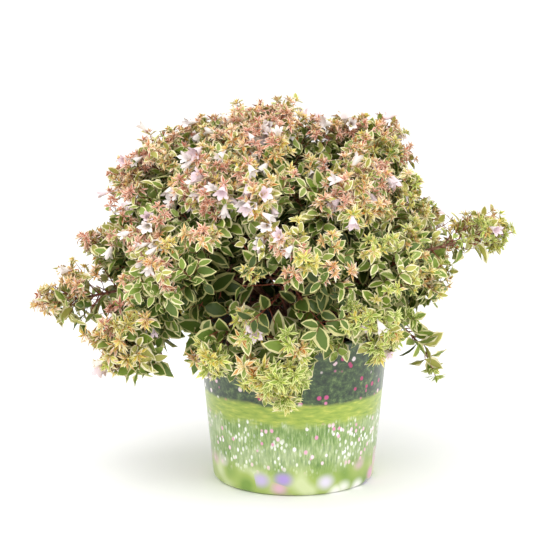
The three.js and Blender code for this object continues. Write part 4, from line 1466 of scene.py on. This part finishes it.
def young_skin():
    """Skin of this year's shoots: smooth, thin and red, with a little gloss."""
    colour = linear("#8e4a36")
    return surface("red_shoot_skin", Base_Color=colour, Roughness=0.45, IOR=1.45, Coat_Weight=0.1)[0]


def limb_girth(mass, walked, passed):
    """A limb's radius along its way: the bough's, then the thinner stem's, with swollen nodes."""
    end = passed[-1]
    entered = np.clip((passed - mass.entry) / (end - mass.entry), 0, 1)
    before = np.clip(passed / mass.entry, 0, 1)
    girth = mass.bough["base"] + (mass.bough["tip"] - mass.bough["base"]) * before
    girth = girth + (STEM_TIP - mass.bough["tip"]) * np.sqrt(entered)
    from_node = (walked + NODES["before"]) % NODES["gap"] - NODES["gap"] / 2
    return girth * (1 + NODES["swelling"] * np.exp(-((from_node / NODES["width"]) ** 2)))


def stool_shape():
    """The woody foot that all the stems rise from, flared at the soil and leaning left."""
    profile = [
        (0.0, -STOOL_FOOT["sunk"]),
        (STOOL["flare"] * STOOL_FOOT["spread"], -STOOL_FOOT["sunk"]),
        (STOOL["flare"], STOOL_FOOT["edge"]),
    ]
    profile += [(STOOL[part] * share, STOOL["height"] * high) for part, share, high in STOOL_OUTLINE]
    points, faces, _ = turned([*profile, (0.0, STOOL["height"])], STOOL_SIDES)
    points = np.array(points)
    points[:, 0] -= STOOL["lean"] * points[:, 2] / STOOL["height"]
    points[:, 2] += SOIL_TOP + SEAT_GAP
    return points, faces


def make_limbs():
    """The stool and every bough with its stem, with the bark's relief and a swelling at each node."""
    shares = np.linspace(0, 1, LIMB_MESH["steps"])
    ways, radii = [], []
    for mass in limbs():
        end = mass.entry + (1 - mass.entry) * STEM_END
        way = bezier(mass.path, shares * end)
        walked = np.concatenate([[0], np.cumsum(np.linalg.norm(np.diff(way, axis=0), axis=1))])
        ways.append(way)
        radii.append(limb_girth(mass, walked, shares * end))
    points, faces = tubes(np.array(ways), np.array(radii), LIMB_MESH["sides"])
    stool, stool_faces = stool_shape()
    faces += [[corner + len(points) for corner in face] for face in stool_faces]
    limb_piece = piece("stool_and_boughs", np.concatenate([points, stool]), faces, [stem_bark()])
    ridges(limb_piece, len(points))
    nodes = ["stool", *(f"bough_{mass.name}" for mass in MASSES)]
    return settle(limb_piece, "bark", *nodes)


def ridges(made, first_of_stool):
    """Moves each point along its normal by the bark's relief, which is deeper on the stool."""
    mesh = made.data
    normals = [vertex.normal.copy() for vertex in mesh.vertices]
    for index, (vertex, normal) in enumerate(zip(mesh.vertices, normals)):
        relief = noise.fractal(vertex.co / RELIEF["grain"], 1.0, 2.0, 3)
        depth = RELIEF["stool" if index >= first_of_stool else "boughs"]
        vertex.co += normal * relief * depth
    mesh.update()


def make_twigs():
    """Every twig, twiglet and spur, a thin red shoot each."""
    plant = growth()
    materials = [young_skin()]
    for name, (radius, steps, sides) in SHOOT_MESH.items():
        batch = getattr(plant, name)
        shares = np.linspace(0, 1, steps)
        ways = np.stack([place_on(batch, batch.lengths * share) for share in shares], axis=1)
        radii = np.tile(radius * (1 - SHOOT_TAPER * shares), (len(ways), 1))
        points, faces = tubes(ways, radii, sides)
        settle(piece(name, points, faces, materials), "bark")


def leaf_skin(name, colour, roughness):
    """Glossy leaf skin: one plain colour under a thin waxy shine."""
    finish = {"Roughness": roughness, "IOR": 1.45, "Specular_IOR_Level": 0.36, "Coat_Weight": 0.05}
    return surface(name, Base_Color=linear(colour), **finish)[0]


def deal_out(leaves, share, colours, outline, names, roughness):
    """One piece of leaves for each colour, by each leaf's share of the way through the colours."""
    number = (share * len(colours)).astype(int)
    for index, (name, pair) in enumerate(colours.items()):
        chosen = picked(leaves, number == index)
        if not len(chosen.points):
            continue
        materials = [
            leaf_skin(f"{names['skin']}_{part}_{name}", colour, rough)
            for part, colour, rough in zip(("blade", "margin"), pair, roughness)
        ]
        points, faces, which = blades(chosen, outline)
        settle(piece(f"{names['piece']}_{name}", points, faces, materials, which), "foliage")


def make_leaves():
    """Grown leaves, green with a cream margin, with painted shade: darker where more growth lies over
    them.
    """
    leaves = growth().leaves
    names = {"piece": "leaves", "skin": "leaf"}
    deal_out(leaves, shade_of(leaves), LEAF_COLOURS, LEAF_OUTLINE, names, LEAF_ROUGHNESS)


def make_tufts():
    """Young leaves at the tips, in plain colours dealt out by spray."""
    tufts = growth().tufts
    names = {"piece": "young_leaves", "skin": "young"}
    deal_out(tufts, tint(tufts), YOUNG_COLOURS, BRACT_OUTLINE, names, YOUNG_ROUGHNESS)


def flower_shape():
    """A bell that opens into five short lobes, along +Z."""
    half_turn = math.pi / 5

    def at(radius, step, height):
        turn = step * half_turn
        return (radius * MM * math.cos(turn), radius * MM * math.sin(turn), height * MM)

    points = [at(radius, i, height) for radius, height in BELL_RINGS for i in range(BELL_SIDES)]
    faces = []
    for low in range(0, BELL_SIDES * (len(BELL_RINGS) - 1), BELL_SIDES):
        high = low + BELL_SIDES
        for i in range(BELL_SIDES):
            j = (i + 1) % BELL_SIDES
            faces.append((low + i, low + j, high + j, high + i))
    mouth = BELL_SIDES * (len(BELL_RINGS) - 1)
    for lobe in range(0, BELL_SIDES, 2):
        left, middle, right, tip = range(len(points), len(points) + 4)
        points += [at(radius, lobe + step, height) for step, radius, height in BELL_LOBE]
        a, b, c = (mouth + (lobe + k) % BELL_SIDES for k in range(3))
        faces += [(a, b, middle, left), (b, c, right, middle), (left, middle, tip), (middle, right, tip)]
    return points, faces


def petal(name, colour):
    """Petals: thin, soft and matt, almost white."""
    return surface(name, Base_Color=linear(colour), Roughness=0.6, IOR=1.4, Sheen_Weight=0.15)[0]


def on_points_tree(name, template, material):
    """Sets a shape on each point, turned and sized by the points' own attributes."""
    tree, given = new_tree(name, Size="Float")
    own = {}
    for label in ("turn", "size"):
        named = add_node(
            tree, "GeometryNodeInputNamedAttribute", {"Name": label}, data_type="FLOAT_VECTOR"
        )
        own[label] = named.outputs["Attribute"]
    sizes = {0: own["size"], 1: given["Size"]}
    scale = add_node(tree, "ShaderNodeVectorMath", sizes, operation="MULTIPLY").outputs["Vector"]
    turn = add_node(tree, "FunctionNodeEulerToRotation", {"Euler": own["turn"]}).outputs["Rotation"]
    set_on(tree, given["Geometry"], template, turn, scale, material)
    return tree


def make_flowers():
    """Open flowers at the tips of some shoots, facing out and nodding a little."""
    flowers = growth().flowers
    at = place_on(flowers, flowers.lengths)
    own = (flowers.spray, flowers.keys)
    stray = np.stack([jitter(FLOWER["stray"], *own, axis) for axis in (97, 98, 99)], axis=1)
    out = FLOWER["outward"] * unit(at - CROWN_HEART)
    ways = unit(heading(flowers) + out - FLOWER["nod"] * UP + stray)
    turns = np.array([Vector(way).to_track_quat("Z", "Y").to_euler() for way in ways])
    # Each flower is a little flattened and out of true, as a soft bell is.
    least, further = FLOWER_SIZES
    sizes = np.stack([deal(*own, axis) for axis in (93, 94, 95)], axis=1) * further + least
    shade = deal(*own, 96)
    for name, (colour, first, last) in FLOWER_COLOURS.items():
        chosen = (shade >= first) & (shade < last)
        material = petal(f"petal_{name}", colour)
        points, faces = flower_shape()
        template = piece("flower", points, faces, [material])
        made = piece(name, at[chosen], [], [material])
        for label, values in (("turn", turns[chosen]), ("size", sizes[chosen])):
            attribute = made.data.attributes.new(label, "FLOAT_VECTOR", "POINT")
            attribute.data.foreach_set("vector", values.astype(np.float32).ravel())
        run_tree(made, on_points_tree(name, template, material), Size=1.0)
        bpy.data.objects.remove(template)
        settle(made, "foliage")


def make_stage(settings):
    """A pale studio floor, even soft light with a broad key from the front left, and the camera."""
    material = surface("matt_studio_floor", Base_Color=linear(settings.floor), Roughness=0.9)[0]
    corners = [(x * FLOOR_REACH, y * FLOOR_REACH, 0) for x, y in ((-1, -1), (1, -1), (1, 1), (-1, 1))]
    piece("floor", corners, [(0, 1, 2, 3)], [material], smooth=False)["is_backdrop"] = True
    scene = bpy.context.scene
    scene.world = bpy.data.worlds.new("studio")
    scene.world.use_nodes = True
    background = scene.world.node_tree.nodes["Background"]
    background.inputs["Color"].default_value = (1, 1, 1, 1)
    background.inputs["Strength"].default_value = settings.sky
    for name, (place, size, power) in LIGHTS.items():
        light = bpy.data.lights.new(name, "AREA")
        light.shape = "DISK"
        light.size = size
        light.energy = power
        lamp = bpy.data.objects.new(name, light)
        lamp.location = place
        lamp.rotation_euler = (Vector(LIT_PLACE) - Vector(place)).to_track_quat("-Z", "Y").to_euler()
        scene.collection.objects.link(lamp)
    camera = bpy.data.objects.new("camera", bpy.data.cameras.new("camera"))
    camera.data.lens = settings.lens
    camera.data.sensor_width = CAMERA["sensor"]
    camera.data.clip_end = CAMERA["clip_end"]
    camera.location = CAMERA["place"]
    camera.rotation_euler = (CAMERA["tilt"] * DEGREE, 0, 0)
    scene.collection.objects.link(camera)
    scene.camera = camera
    scene.view_settings.view_transform = "Standard"


class ABELIA_OT_stage(bpy.types.Operator):
    """Sets up the floor, the light and the camera"""

    bl_idname = "abelia.stage"
    bl_label = "Stage"

    def execute(self, context):
        make_stage(context.scene.abelia_stage)
        return {"FINISHED"}


class ABELIA_OT_pot(bpy.types.Operator):
    """Makes the printed pot with its drain holes"""

    bl_idname = "abelia.pot"
    bl_label = "Pot"

    def execute(self, context):
        make_pot(context.scene.abelia_pot)
        return {"FINISHED"}


class ABELIA_OT_soil(bpy.types.Operator):
    """Makes the potting soil with its crumbs"""

    bl_idname = "abelia.soil"
    bl_label = "Soil"

    def execute(self, context):
        make_soil(context.scene.abelia_pot)
        return {"FINISHED"}


class ABELIA_OT_limbs(bpy.types.Operator):
    """Makes the stool and the boughs with their bark"""

    bl_idname = "abelia.limbs"
    bl_label = "Stool and boughs"

    def execute(self, context):
        make_limbs()
        return {"FINISHED"}


class ABELIA_OT_twigs(bpy.types.Operator):
    """Grows the twigs and twiglets"""

    bl_idname = "abelia.twigs"
    bl_label = "Twigs"

    def execute(self, context):
        make_twigs()
        return {"FINISHED"}


class ABELIA_OT_leaves(bpy.types.Operator):
    """Grows the leaves, and hides the frame's coarse masses"""

    bl_idname = "abelia.leaves"
    bl_label = "Leaves"

    def execute(self, context):
        make_leaves()
        masses = [f"foliage_{mass.name}" for mass in MASSES]
        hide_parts(*masses)
        return {"FINISHED"}


class ABELIA_OT_tufts(bpy.types.Operator):
    """Grows the young leaves at the tips"""

    bl_idname = "abelia.tufts"
    bl_label = "Young leaves"

    def execute(self, context):
        make_tufts()
        return {"FINISHED"}


class ABELIA_OT_flowers(bpy.types.Operator):
    """Sets the open flowers"""

    bl_idname = "abelia.flowers"
    bl_label = "Flowers"

    def execute(self, context):
        make_flowers()
        return {"FINISHED"}


SETTINGS = {"abelia_pot": PotSettings, "abelia_growth": GrowthSettings, "abelia_stage": StageSettings}
OPERATORS = (
    ABELIA_OT_stage,
    ABELIA_OT_pot,
    ABELIA_OT_soil,
    ABELIA_OT_limbs,
    ABELIA_OT_twigs,
    ABELIA_OT_leaves,
    ABELIA_OT_tufts,
    ABELIA_OT_flowers,
)


class ABELIA_PT_panel(bpy.types.Panel):
    """Lists the shrub's settings and its pieces"""

    bl_label = "Potted abelia"
    bl_space_type = "VIEW_3D"
    bl_region_type = "UI"
    bl_category = "Abelia"

    def draw(self, context):
        for holder, group in SETTINGS.items():
            box = self.layout.box()
            for name in group.__annotations__:
                box.prop(getattr(context.scene, holder), name)
        for operator in OPERATORS:
            self.layout.operator(operator.bl_idname)


def register():
    """Adds the settings, the operators and the panel to Blender."""
    for kind in (*SETTINGS.values(), *OPERATORS, ABELIA_PT_panel):
        bpy.utils.register_class(kind)
    for name, group in SETTINGS.items():
        setattr(bpy.types.Scene, name, bpy.props.PointerProperty(type=group))


def unregister():
    """Takes them out again."""
    for name in SETTINGS:
        delattr(bpy.types.Scene, name)
    for kind in reversed((*SETTINGS.values(), *OPERATORS, ABELIA_PT_panel)):
        bpy.utils.unregister_class(kind)


def main():
    """Makes every piece in order, and works out how large the frame and the visual model are."""
    register()
    for operator in OPERATORS:
        family, name = operator.bl_idname.split(".")
        getattr(getattr(bpy.ops, family), name)()
    sizes = {"cad": CAD_BOX, "visual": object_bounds()}
    {name: [list(corner) for corner in box] for name, box in sizes.items()}


if __name__ == "__main__":
    main()
